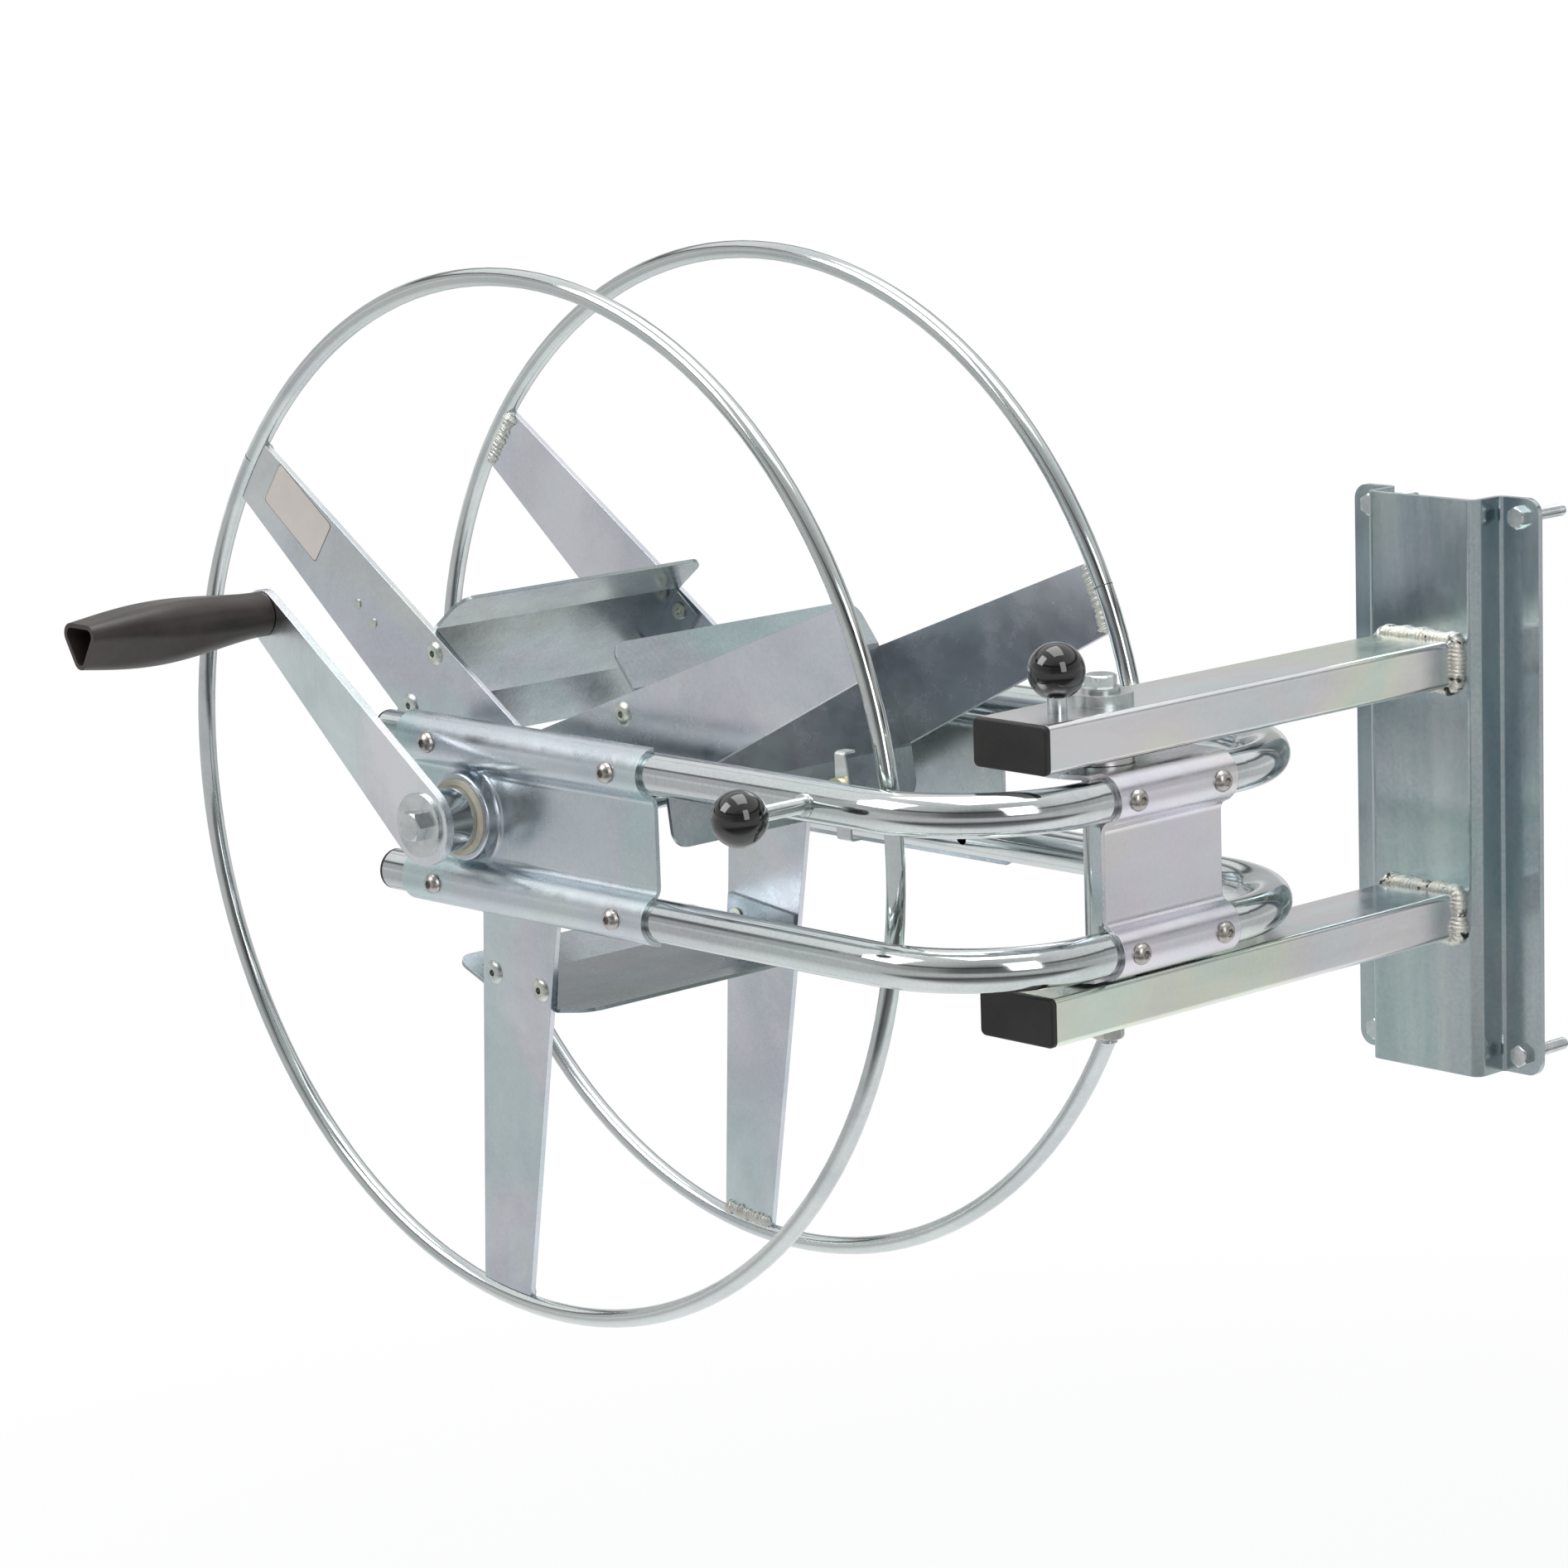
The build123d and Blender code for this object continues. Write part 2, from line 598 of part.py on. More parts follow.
# Side plate screws: four on each plate, heads outwards
with BuildPart() as side_plate_screws:
    screw_middle_x = hub_x + (plate_screw_right - plate_screw_left) / 2
    for leg_y, out in ((near_leg_y, -1), (far_leg_y, 1)):
        seat = Plane(origin=(screw_middle_x, leg_y + out * groove_outer, hub_z), x_dir=(1, 0, 0), z_dir=(0, out, 0))
        with Locations(seat):
            with GridLocations(plate_screw_left + plate_screw_right, tube_spacing, 2, 2):
                add(button_screw.part)
side_plate_screws.part.label = "side_plate_screws"
export_step(side_plate_screws.part, "parts/side_plate_screws.step")

# Bearing bushes: flanged plastic sleeves pushed outwards through the plates' collars
for bush_name, leg_y, out in (("near_bearing_bush", near_leg_y, -1), ("far_bearing_bush", far_leg_y, 1)):
    with BuildPart() as bush:
        inner_face_y = leg_y - out * sheet / 2
        with BuildSketch(Plane(origin=(hub_x, inner_face_y, hub_z), z_dir=(0, out, 0))):
            Circle(bush_diameter / 2)
            Circle(shaft_diameter / 2 + running_gap, mode=Mode.SUBTRACT)
        extrude(amount=sheet + collar_height + bush_proud)
        with BuildSketch(Plane(origin=(hub_x, inner_face_y, hub_z), z_dir=(0, -out, 0))):
            Circle(bush_flange_diameter / 2)
            Circle(shaft_diameter / 2 + running_gap, mode=Mode.SUBTRACT)
        extrude(amount=bush_flange)
    bush.part.label = bush_name
    export_step(bush.part, f"parts/{bush_name}.step")

# Reel lock collar: sleeve through the near upper leg, proud on the outside
with BuildPart() as reel_lock_collar:
    with BuildSketch(facing_wall(lock_x, lock_guide_y, upper_tube_z)):
        Circle(lock_collar_diameter / 2)
        Circle(reel_pin_diameter / 2 + running_gap, mode=Mode.SUBTRACT)
    extrude(amount=tube_diameter + lock_collar_proud)
reel_lock_collar.part.label = "reel_lock_collar"
export_step(reel_lock_collar.part, "parts/reel_lock_collar.step")

# Reel lock guide: rounded nut on the inner side of the leg
with BuildPart() as reel_lock_guide:
    with BuildSketch(Plane(origin=(lock_x, lock_guide_y, upper_tube_z), z_dir=(0, 1, 0))):
        Circle(lock_guide_diameter / 2)
        Circle(reel_pin_diameter / 2 + running_gap, mode=Mode.SUBTRACT)
    extrude(amount=lock_guide_thickness)
    guide_rim = reel_lock_guide.faces().filter_by(Axis.Y).sort_by(Axis.Y)[-1].edges().sort_by(SortBy.LENGTH)[-1]
    fillet(guide_rim, radius=lock_guide_edge)
reel_lock_guide.part.label = "reel_lock_guide"
export_step(reel_lock_guide.part, "parts/reel_lock_guide.step")

# Rings: round bar hoops
for ring_name, ring_y in (("near_ring", near_ring_y), ("far_ring", far_ring_y)):
    with BuildPart() as ring:
        with BuildSketch(Plane(origin=(hub_x, ring_y, hub_z), x_dir=(1, 0, 0), z_dir=(0, 0, 1))):
            with Locations((ring_radius, 0)):
                Circle(ring_bar / 2)
        revolve(axis=Axis((hub_x, ring_y, hub_z), (0, 1, 0)))
    ring.part.label = ring_name
    export_step(ring.part, f"parts/{ring_name}.step")

# Spiders: one sheet star per side, spokes tapering to the ring's inner side, drilled for the rivets
spoke_length = ring_radius - ring_bar / 2 - weld_gap
spoke_slope = math.degrees(math.atan(2 * spoke_length / (spoke_root_width - spoke_tip_width)))
spoke_rivet_spots = []
for step in range(2):
    spoke_rivet_spots.append((spoke_rivet_reach - step * spoke_rivet_spacing, spoke_rivet_offset))
for spider_name, spider_y in (("near_spider", near_ring_y), ("far_spider", far_ring_y)):
    with BuildPart() as spider:
        with BuildSketch(facing_wall(hub_x, spider_y, hub_z)):
            with PolarLocations(spoke_length / 2, spoke_count, start_angle=spoke_angle):
                Trapezoid(spoke_root_width, spoke_length + spoke_trim_length, spoke_slope, rotation=-90)
            Circle(spoke_length, mode=Mode.INTERSECT)
            Circle(shaft_diameter / 2 + fit_gap, mode=Mode.SUBTRACT)
        extrude(amount=spider_sheet / 2, both=True)
        for angle in spoke_angles:
            with BuildSketch(turned(angle, spider_y)):
                with Locations((rivet_radius, 0)):
                    with GridLocations(0, rivet_spacing, 1, 2):
                        Circle(rivet_shank / 2 + fit_gap)
            extrude(amount=spider_sheet, both=True, mode=Mode.SUBTRACT)
        if spider_name == "near_spider":
            with BuildSketch(turned(spoke_angles[1], spider_y)):
                with Locations(*spoke_rivet_spots):
                    Circle(spoke_rivet_shank / 2 + fit_gap)
            extrude(amount=spider_sheet, both=True, mode=Mode.SUBTRACT)
    spider.part.label = spider_name
    export_step(spider.part, f"parts/{spider_name}.step")

# Drum plates: a flat with two flared edges on each spoke, and a riveted tab at each end
drum_length = reel_spacing - spider_sheet
for number, angle in enumerate(spoke_angles, start=1):
    with BuildPart() as drum_plate:
        with BuildSketch(turned(angle, near_ring_y + spider_sheet / 2)):
            with BuildLine():
                middle = drum_radius - drum_sheet / 2
                Polyline(
                    (middle - drum_flare_depth, -drum_width / 2),
                    (middle, -drum_flat_width / 2),
                    (middle, drum_flat_width / 2),
                    (middle - drum_flare_depth, drum_width / 2),
                )
            trace(line_width=drum_sheet)
        extrude(amount=-drum_length)
        flare_corners = drum_plate.edges().filter_by(
            lambda edge: abs(edge.length - drum_sheet) < fit_gap and abs(edge.tangent_at(0).Y) < fit_gap
        )
        fillet(flare_corners, radius=drum_corner)
        for tab_y, inward in (
            (near_ring_y + spider_sheet / 2, -1),
            (far_ring_y - spider_sheet / 2, 1),
        ):
            with BuildSketch(turned(angle, tab_y)):
                with Locations((drum_radius - drum_sheet / 2 - tab_depth / 2, 0)):
                    Rectangle(tab_depth + drum_sheet / 2, tab_width)
                with Locations((rivet_radius, 0)):
                    with GridLocations(0, rivet_spacing, 1, 2):
                        Circle(rivet_shank / 2 + fit_gap, mode=Mode.SUBTRACT)
            extrude(amount=inward * drum_sheet)
    drum_plate.part.label = f"drum_plate_{number}"
    export_step(drum_plate.part, f"parts/drum_plate_{number}.step")

# Drum rivet, made once along +Z: tubular, head on the outer side of the spider, tail on the tab
grip_thickness = spider_sheet + drum_sheet
with BuildPart() as drum_rivet:
    with BuildSketch(Plane.XZ):
        with BuildLine():
            Polyline(
                (rivet_bore / 2, rivet_dome), (rivet_bore / 2, -grip_thickness - rivet_tail_height),
                (rivet_tail / 2, -grip_thickness - rivet_tail_height), (rivet_tail / 2, -grip_thickness),
                (rivet_shank / 2, -grip_thickness), (rivet_shank / 2, 0), (rivet_head / 2, 0),
            )
            crown(rivet_head / 2, rivet_dome, rivet_bore)
        make_face()
    revolve(axis=Axis.Z)

# Drum rivets: two through each tab
with BuildPart() as drum_rivets:
    for angle in spoke_angles:
        radians = math.radians(angle)
        spoke_direction = (math.cos(radians), 0, math.sin(radians))
        for head_y, out in ((near_ring_y - spider_sheet / 2, -1), (far_ring_y + spider_sheet / 2, 1)):
            with Locations(Plane(origin=(hub_x, head_y, hub_z), x_dir=spoke_direction, z_dir=(0, out, 0))):
                with Locations((rivet_radius, 0)):
                    with GridLocations(0, rivet_spacing, 1, 2):
                        add(drum_rivet.part)
drum_rivets.part.label = "drum_rivets"
export_step(drum_rivets.part, "parts/drum_rivets.step")

# Spoke rivets: two small flush ones on the near upper spoke
with BuildPart() as spoke_rivets:
    for head_side in (-1, 1):
        face_y = near_ring_y + head_side * spider_sheet / 2
        with BuildSketch(turned(spoke_angles[1], face_y)):
            with Locations(*spoke_rivet_spots):
                Circle(spoke_rivet_head / 2)
        extrude(amount=-head_side * spoke_rivet_height)
    with BuildSketch(turned(spoke_angles[1], near_ring_y)):
        with Locations(*spoke_rivet_spots):
            Circle(spoke_rivet_shank / 2)
    extrude(amount=spider_sheet / 2, both=True)
spoke_rivets.part.label = "spoke_rivets"
export_step(spoke_rivets.part, "parts/spoke_rivets.step")

# Reel shaft: tube through both bushes
with BuildPart() as reel_shaft:
    with BuildSketch(facing_wall(hub_x, shaft_far_y, hub_z)):
        Circle(shaft_diameter / 2)
        Circle(shaft_diameter / 2 - shaft_wall, mode=Mode.SUBTRACT)
    extrude(amount=shaft_far_y - shaft_near_y)
reel_shaft.part.label = "reel_shaft"
export_step(reel_shaft.part, "parts/reel_shaft.step")

# Shaft plugs: threaded discs in the shaft's ends
with BuildPart() as shaft_plugs:
    for plug_face_y, inward in ((shaft_near_y, -1), (shaft_far_y, 1)):
        with BuildSketch(facing_wall(hub_x, plug_face_y, hub_z)):
            Circle(shaft_diameter / 2 - shaft_wall - fit_gap)
            Circle(crank_bolt_diameter / 2 + running_gap, mode=Mode.SUBTRACT)
        extrude(amount=inward * shaft_plug_length)
shaft_plugs.part.label = "shaft_plugs"
export_step(shaft_plugs.part, "parts/shaft_plugs.step")

# Crank arm: flat bar with a round end at the shaft and a smaller one at the grip
crank_plane = turned(crank_angle, shaft_near_y)
with BuildPart() as crank_arm:
    with BuildSketch(crank_plane):
        Circle(crank_hub_radius)
        with Locations((crank_length, 0)):
            Circle(crank_tip_radius)
        make_hull()
        Circle(crank_bolt_diameter / 2 + running_gap, mode=Mode.SUBTRACT)
        with Locations((crank_length, 0)):
            Circle(grip_pin_diameter / 2 + running_gap, mode=Mode.SUBTRACT)
    extrude(amount=crank_sheet)
crank_arm.part.label = "crank_arm"
export_step(crank_arm.part, "parts/crank_arm.step")

# Washers and bolts on the shaft's ends: the crank's side and the far side
crank_washer_y = crank_face_y - crank_washer_thickness
end_washer_y = shaft_far_y + end_washer_thickness
shaft_washers = (
    ("crank_washer", crank_face_y, crank_washer_thickness, crank_washer_diameter),
    ("shaft_end_washer", shaft_far_y + end_washer_thickness, end_washer_thickness, end_washer_diameter),
)
for washer_name, washer_y, washer_thickness, washer_diameter in shaft_washers:
    with BuildPart() as shaft_washer:
        with BuildSketch(facing_wall(hub_x, washer_y, hub_z)):
            Circle(washer_diameter / 2)
            Circle(crank_bolt_diameter / 2 + fit_gap, mode=Mode.SUBTRACT)
        extrude(amount=washer_thickness)
    shaft_washer.part.label = washer_name
    export_step(shaft_washer.part, f"parts/{washer_name}.step")

shaft_bolts = (
    ("crank_bolt", crank_washer_y, -1, shaft_near_y + shaft_plug_length),
    ("shaft_end_bolt", end_washer_y, 1, shaft_far_y - shaft_plug_length),
)
for bolt_name, seat_y, outward, tip_y in shaft_bolts:
    with BuildPart() as shaft_bolt:
        with Locations(Plane(origin=(hub_x, seat_y, hub_z), x_dir=(1, 0, 0), z_dir=(0, outward, 0))):
            add(hexagon(crank_bolt_diameter * hex_across_share, crank_bolt_diameter * hex_head_share))
        with BuildSketch(facing_wall(hub_x, seat_y, hub_z)):
            Circle(crank_bolt_diameter / 2)
        extrude(amount=seat_y - tip_y)
    shaft_bolt.part.label = bolt_name
    export_step(shaft_bolt.part, f"parts/{bolt_name}.step")

# Grip pin: domed head behind the crank arm, shank through the arm into the grip
pin_end_y = recess_floor_y - grip_washer_thickness - play - grip_pin_tail_length
with BuildPart() as grip_pin:
    with BuildSketch(Plane(origin=(grip_x, shaft_near_y, grip_z), x_dir=(1, 0, 0), z_dir=(0, 0, 1))):
        with BuildLine():
            shank_end = pin_end_y - shaft_near_y
            dome = crown(grip_pin_head / 2, grip_pin_head_height, grip_pin_head_top)
            Polyline(
                dome @ 1, (0, grip_pin_head_height), (0, shank_end), (grip_pin_diameter / 2, shank_end),
                (grip_pin_diameter / 2, 0), dome @ 0,
            )
        make_face()
    revolve(axis=Axis((grip_x, 0, grip_z), (0, 1, 0)))
grip_pin.part.label = "grip_pin"
export_step(grip_pin.part, "parts/grip_pin.step")

# Crank grip: rounded triangular plastic handle, fuller in the middle, with a triangular hollow in its outer end
grip_sections = (
    (0, grip_inner_radius),
    (grip_rise_share, grip_rise_radius),
    (grip_peak_share, grip_mid_radius),
    (grip_fall_share, grip_fall_radius),
    (1, grip_outer_radius),
)
with BuildPart() as crank_grip:
    for share, radius in grip_sections:
        roundness = grip_inner_roundness + (grip_outer_roundness - grip_inner_roundness) * share
        with BuildSketch(facing_wall(grip_x, grip_start_y - share * grip_length, grip_z)):
            with PolarLocations(radius * (1 - roundness), 3, start_angle=-90):
                Circle(radius * roundness)
            make_hull()
    loft()
    with BuildSketch(facing_wall(grip_x, recess_floor_y, grip_z)):
        with PolarLocations(grip_outer_radius * (1 - grip_outer_roundness), 3, start_angle=-90):
            Circle(grip_outer_radius * grip_outer_roundness - grip_wall)
        make_hull()
    extrude(amount=grip_recess_depth, mode=Mode.SUBTRACT)
    with BuildSketch(facing_wall(grip_x, grip_start_y, grip_z)):
        Circle(grip_pin_diameter / 2 + running_gap)
    extrude(amount=grip_length, mode=Mode.SUBTRACT)
crank_grip.part.label = "crank_grip"
export_step(crank_grip.part, "parts/crank_grip.step")

# Grip retaining washer: pressed on the pin at the recess floor
with BuildPart() as grip_retaining_washer:
    with BuildSketch(facing_wall(grip_x, recess_floor_y - play, grip_z)):
        Circle(grip_washer_diameter / 2)
        Circle(grip_pin_diameter / 2 + running_gap, mode=Mode.SUBTRACT)
    extrude(amount=grip_washer_thickness)
grip_retaining_washer.part.label = "grip_retaining_washer"
export_step(grip_retaining_washer.part, "parts/grip_retaining_washer.step")

# Ball knobs: a flat foot and a blind bore for the pin
swivel_knob_z = arm_top + swivel_knob_stand_height
knobs = (
    ("reel_lock_knob", (lock_x, reel_knob_y, upper_tube_z), (0, 1, 0), reel_pin_diameter),
    ("swivel_lock_knob", (0, lock_y, swivel_knob_z), (0, 0, -1), swivel_pin_diameter),
)
for knob_name, centre, towards_foot, pin_diameter in knobs:
    with BuildPart() as knob:
        with Locations(centre):
            Sphere(knob_diameter / 2)
        foot_plane = Plane(origin=centre, z_dir=towards_foot).offset(knob_foot)
        split(bisect_by=foot_plane, keep=Keep.BOTTOM)
        with BuildSketch(foot_plane):
            Circle(pin_diameter / 2 + running_gap)
        extrude(amount=-knob_bore_depth, mode=Mode.SUBTRACT)
    knob.part.label = knob_name
    export_step(knob.part, f"parts/{knob_name}.step")

# Lock pins
reel_pin_start_y = reel_knob_y + knob_foot - knob_bore_depth + play
with BuildPart() as reel_lock_pin:
    with BuildSketch(facing_wall(lock_x, catch_y + catch_sheet, upper_tube_z)):
        Circle(reel_pin_diameter / 2)
    extrude(amount=catch_y + catch_sheet - reel_pin_start_y)
reel_lock_pin.part.label = "reel_lock_pin"
export_step(reel_lock_pin.part, "parts/reel_lock_pin.step")

swivel_pin_tip_z = flange_top + swivel_pin_gap
swivel_pin_top_z = swivel_knob_z - knob_foot + knob_bore_depth - play
with BuildPart() as swivel_lock_pin:
    with BuildSketch(Plane(origin=(0, lock_y, swivel_pin_tip_z))):
        Circle(swivel_pin_diameter / 2)
    extrude(amount=swivel_pin_top_z - swivel_pin_tip_z)
    chamfer(swivel_lock_pin.edges().sort_by(Axis.Z)[0], length=swivel_pin_chamfer)
swivel_lock_pin.part.label = "swivel_lock_pin"
export_step(swivel_lock_pin.part, "parts/swivel_lock_pin.step")

# Reel lock catch: sheet bracket whose two lips close round a spoke's edges, cut back to pass inside the hoop
with BuildPart() as reel_lock_catch:
    with BuildSketch(Plane(origin=(lock_x, 0, upper_tube_z), x_dir=(0, 1, 0), z_dir=(1, 0, 0))):
        with BuildLine():
            half = (catch_gap + catch_sheet) / 2
            base = catch_y + catch_sheet / 2
            FilletPolyline(
                (base + catch_lip, -half), (base, -half), (base, half), (base + catch_lip, half),
                radius=catch_bend,
            )
        trace(line_width=catch_sheet)
    extrude(amount=catch_width / 2, both=True)
    with BuildSketch(facing_wall(lock_x, catch_y, upper_tube_z)):
        Circle(reel_pin_diameter / 2 + running_gap)
    extrude(amount=-catch_sheet, mode=Mode.SUBTRACT)
    with BuildSketch(facing_wall(hub_x, catch_y, hub_z)):
        Circle(ring_radius - ring_bar / 2 - catch_clearance)
    extrude(amount=-catch_lip - catch_sheet, mode=Mode.INTERSECT)
reel_lock_catch.part.label = "reel_lock_catch"
export_step(reel_lock_catch.part, "parts/reel_lock_catch.step")
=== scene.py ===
import json
import math

import bpy
import numpy as np
from mathutils import Matrix, Vector


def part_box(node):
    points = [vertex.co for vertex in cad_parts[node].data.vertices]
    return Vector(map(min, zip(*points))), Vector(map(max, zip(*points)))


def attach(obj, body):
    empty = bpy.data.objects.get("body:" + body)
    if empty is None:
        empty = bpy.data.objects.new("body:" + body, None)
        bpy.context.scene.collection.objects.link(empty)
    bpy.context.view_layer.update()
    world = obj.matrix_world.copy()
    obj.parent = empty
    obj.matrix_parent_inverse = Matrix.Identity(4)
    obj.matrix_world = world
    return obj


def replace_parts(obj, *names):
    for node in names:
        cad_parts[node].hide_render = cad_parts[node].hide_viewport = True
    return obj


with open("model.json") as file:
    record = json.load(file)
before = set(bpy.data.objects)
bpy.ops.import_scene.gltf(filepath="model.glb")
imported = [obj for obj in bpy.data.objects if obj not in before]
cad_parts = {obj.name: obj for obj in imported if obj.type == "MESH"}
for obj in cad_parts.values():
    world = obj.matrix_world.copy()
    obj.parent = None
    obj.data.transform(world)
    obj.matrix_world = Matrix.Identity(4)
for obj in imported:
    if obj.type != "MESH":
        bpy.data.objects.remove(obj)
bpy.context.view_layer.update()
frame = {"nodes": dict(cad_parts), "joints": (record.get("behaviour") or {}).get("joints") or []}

nodes = frame["nodes"]
joint_place = {joint["name"]: joint["pos_m"] for joint in frame["joints"] if "pos_m" in joint}
scene = bpy.context.scene
scene.view_settings.view_transform = "Standard"

# Camera
# A long lens from the front right, a little above the hub, at the photograph's viewing angle.
frame_pixels = 1893
focal_pixels = 5921
sensor_width = 36.0
camera_place = Vector((1.9814, -2.4484, 0.6066))
camera_azimuth = math.radians(46.87)
camera_elevation = math.radians(10.81)
camera_roll = math.radians(-1.96)


def camera_axes(azimuth, elevation, roll):
    """Right, up and back vectors: back points from the object to the lens, then right and up turn by the roll."""
    back = Vector((
        math.sin(azimuth) * math.cos(elevation),
        -math.cos(azimuth) * math.cos(elevation),
        math.sin(elevation),
    ))
    level = Vector((math.cos(azimuth), math.sin(azimuth), 0.0))
    upright = back.cross(level)
    right = level * math.cos(roll) + upright * math.sin(roll)
    up = upright * math.cos(roll) - level * math.sin(roll)
    return right, up, back


camera_data = bpy.data.cameras.new("camera")
camera_data.sensor_width = sensor_width
camera_data.lens = focal_pixels / frame_pixels * sensor_width
camera_data.clip_end = 50
camera = bpy.data.objects.new("camera", camera_data)
scene.collection.objects.link(camera)
right, up, back = camera_axes(camera_azimuth, camera_elevation, camera_roll)
camera.matrix_world = Matrix((
    (right.x, up.x, back.x, camera_place.x),
    (right.y, up.y, back.y, camera_place.y),
    (right.z, up.z, back.z, camera_place.z),
    (0, 0, 0, 1),
))
scene.camera = camera

# Studio
# Three large soft lamps and a pale room. Bright metal reflects a white room with grey flags: soft bands by
# height, and a darker patch in front of the object.
lamp_aim = Vector((-0.35, -0.33, 0.0))


def soft_lamp(name, place, width, height, power):
    """Rectangular area lamp at a place, turned so that its face looks at the object."""
    data = bpy.data.lights.new(name, "AREA")
    data.shape = "RECTANGLE"
    data.size = width
    data.size_y = height
    data.energy = power
    lamp = bpy.data.objects.new(name, data)
    lamp.rotation_euler = (lamp_aim - Vector(place)).to_track_quat("-Z", "Y").to_euler()
    lamp.location = place
    scene.collection.objects.link(lamp)


soft_lamp("key_lamp", (-1.6, -2.6, 2.3), 1.8, 1.8, 46)
soft_lamp("fill_lamp", (2.8, -1.2, 1.4), 1.2, 2.2, 24)
soft_lamp("top_lamp", (-0.3, -0.2, 2.6), 2.4, 1.6, 34)


def ramp(tree, factor, stops):
    """Colour ramp over a factor: stops are (position, (red, green, blue))."""
    node = tree.nodes.new("ShaderNodeValToRGB")
    elements = node.color_ramp.elements
    while len(elements) < len(stops):
        elements.new(0.5)
    for element, (position, colour) in zip(elements, stops):
        element.position = position
        element.color = (*colour, 1.0)
    tree.links.new(factor, node.inputs["Fac"])
    return node.outputs["Color"]


def spread(tree, factor, from_low, from_high, low, high):
    """Number carried in a straight line from one range to another, and held at its ends."""
    node = tree.nodes.new("ShaderNodeMapRange")
    node.inputs["From Min"].default_value = from_low
    node.inputs["From Max"].default_value = from_high
    node.inputs["To Min"].default_value = low
    node.inputs["To Max"].default_value = high
    tree.links.new(factor, node.inputs["Value"])
    return node.outputs["Result"]


def blended(tree, kind, amount, below, above):
    """Mix of two colours by a blend kind; amount is a number or a socket, and so is each colour."""
    node = tree.nodes.new("ShaderNodeMix")
    node.data_type = "RGBA"
    node.blend_type = kind
    factor = node.inputs["Factor"]
    if isinstance(amount, float):
        factor.default_value = amount
    else:
        tree.links.new(amount, factor)
    for value, socket in ((below, node.inputs["A"]), (above, node.inputs["B"])):
        if isinstance(value, tuple):
            socket.default_value = (*value, 1.0)
        else:
            tree.links.new(value, socket)
    return node.outputs["Result"]


def sums(tree, operation, first, second):
    """One arithmetic step on two sockets, or on a socket and a number."""
    node = tree.nodes.new("ShaderNodeMath")
    node.operation = operation
    for value, socket in ((first, node.inputs[0]), (second, node.inputs[1])):
        if isinstance(value, float):
            socket.default_value = value
        else:
            tree.links.new(value, socket)
    return node.outputs[0]


def greys(*stops):
    """Ramp stops from pairs of position and grey level."""
    return tuple((position, (shade, shade, shade)) for position, shade in stops)


world = bpy.data.worlds.new("studio")
scene.world = world
world.use_nodes = True
tree = world.node_tree
tree.nodes.clear()
direction = tree.nodes.new("ShaderNodeTexCoord").outputs["Generated"]
facing = tree.nodes.new("ShaderNodeVectorMath")
facing.operation = "DOT_PRODUCT"
facing.inputs[1].default_value = back
tree.links.new(direction, facing.inputs[0])
height = tree.nodes.new("ShaderNodeSeparateXYZ")
tree.links.new(direction, height.inputs[0])
front_flag = ramp(
    tree, spread(tree, facing.outputs["Value"], -1.0, 1.0, 0.0, 1.0),
    greys((0.30, 1.0), (0.50, 0.90), (0.75, 0.70), (0.91, 0.50), (0.97, 0.24)),
)
height_bands = ramp(
    tree, spread(tree, height.outputs["Z"], -1.0, 1.0, 0.0, 1.0),
    greys((0.47, 1.0), (0.50, 0.80), (0.55, 0.78), (0.58, 0.58), (0.69, 0.60), (0.715, 0.13), (0.735, 0.13), (0.77, 1.0)),
)
reflected = tree.nodes.new("ShaderNodeBackground")
tree.links.new(blended(tree, "MULTIPLY", 1.0, front_flag, height_bands), reflected.inputs["Color"])
room = tree.nodes.new("ShaderNodeBackground")
room.inputs["Color"].default_value = (0.93, 0.97, 1.0, 1.0)
room.inputs["Strength"].default_value = 0.55
backdrop = tree.nodes.new("ShaderNodeBackground")
backdrop.inputs["Color"].default_value = (1, 1, 1, 1)
path = tree.nodes.new("ShaderNodeLightPath").outputs
mirror_mix = tree.nodes.new("ShaderNodeMixShader")
tree.links.new(sums(tree, "MAXIMUM", path["Is Glossy Ray"], path["Is Transmission Ray"]), mirror_mix.inputs[0])
tree.links.new(room.outputs[0], mirror_mix.inputs[1])
tree.links.new(reflected.outputs[0], mirror_mix.inputs[2])
seen_mix = tree.nodes.new("ShaderNodeMixShader")
tree.links.new(path["Is Camera Ray"], seen_mix.inputs[0])
tree.links.new(mirror_mix.outputs[0], seen_mix.inputs[1])
tree.links.new(backdrop.outputs[0], seen_mix.inputs[2])
world_out = tree.nodes.new("ShaderNodeOutputWorld")
tree.links.new(seen_mix.outputs[0], world_out.inputs["Surface"])

floor_drop = 0.95
floor_reach = 30
floor_mesh = bpy.data.meshes.new("floor")
corner_signs = ((-1, -1), (1, -1), (1, 1), (-1, 1))
floor_mesh.from_pydata([(x * floor_reach, y * floor_reach, -floor_drop) for x, y in corner_signs], [], [(0, 1, 2, 3)])
floor = bpy.data.objects.new("floor", floor_mesh)
scene.collection.objects.link(floor)
floor_paint = bpy.data.materials.new("floor_white")
floor_paint.use_nodes = True
tree = floor_paint.node_tree
floor_shader = tree.nodes["Principled BSDF"]
floor_shader.inputs["Base Color"].default_value = (0.93, 0.93, 0.93, 1)
floor_shader.inputs["Roughness"].default_value = 0.9
floor_shader.inputs["Specular IOR Level"].default_value = 0.0
floor_glow = tree.nodes.new("ShaderNodeEmission")
floor_mix = tree.nodes.new("ShaderNodeMixShader")
path = tree.nodes.new("ShaderNodeLightPath").outputs
looking = sums(tree, "MAXIMUM", path["Is Camera Ray"], path["Is Glossy Ray"])
distance = tree.nodes.new("ShaderNodeVectorMath")
distance.operation = "LENGTH"
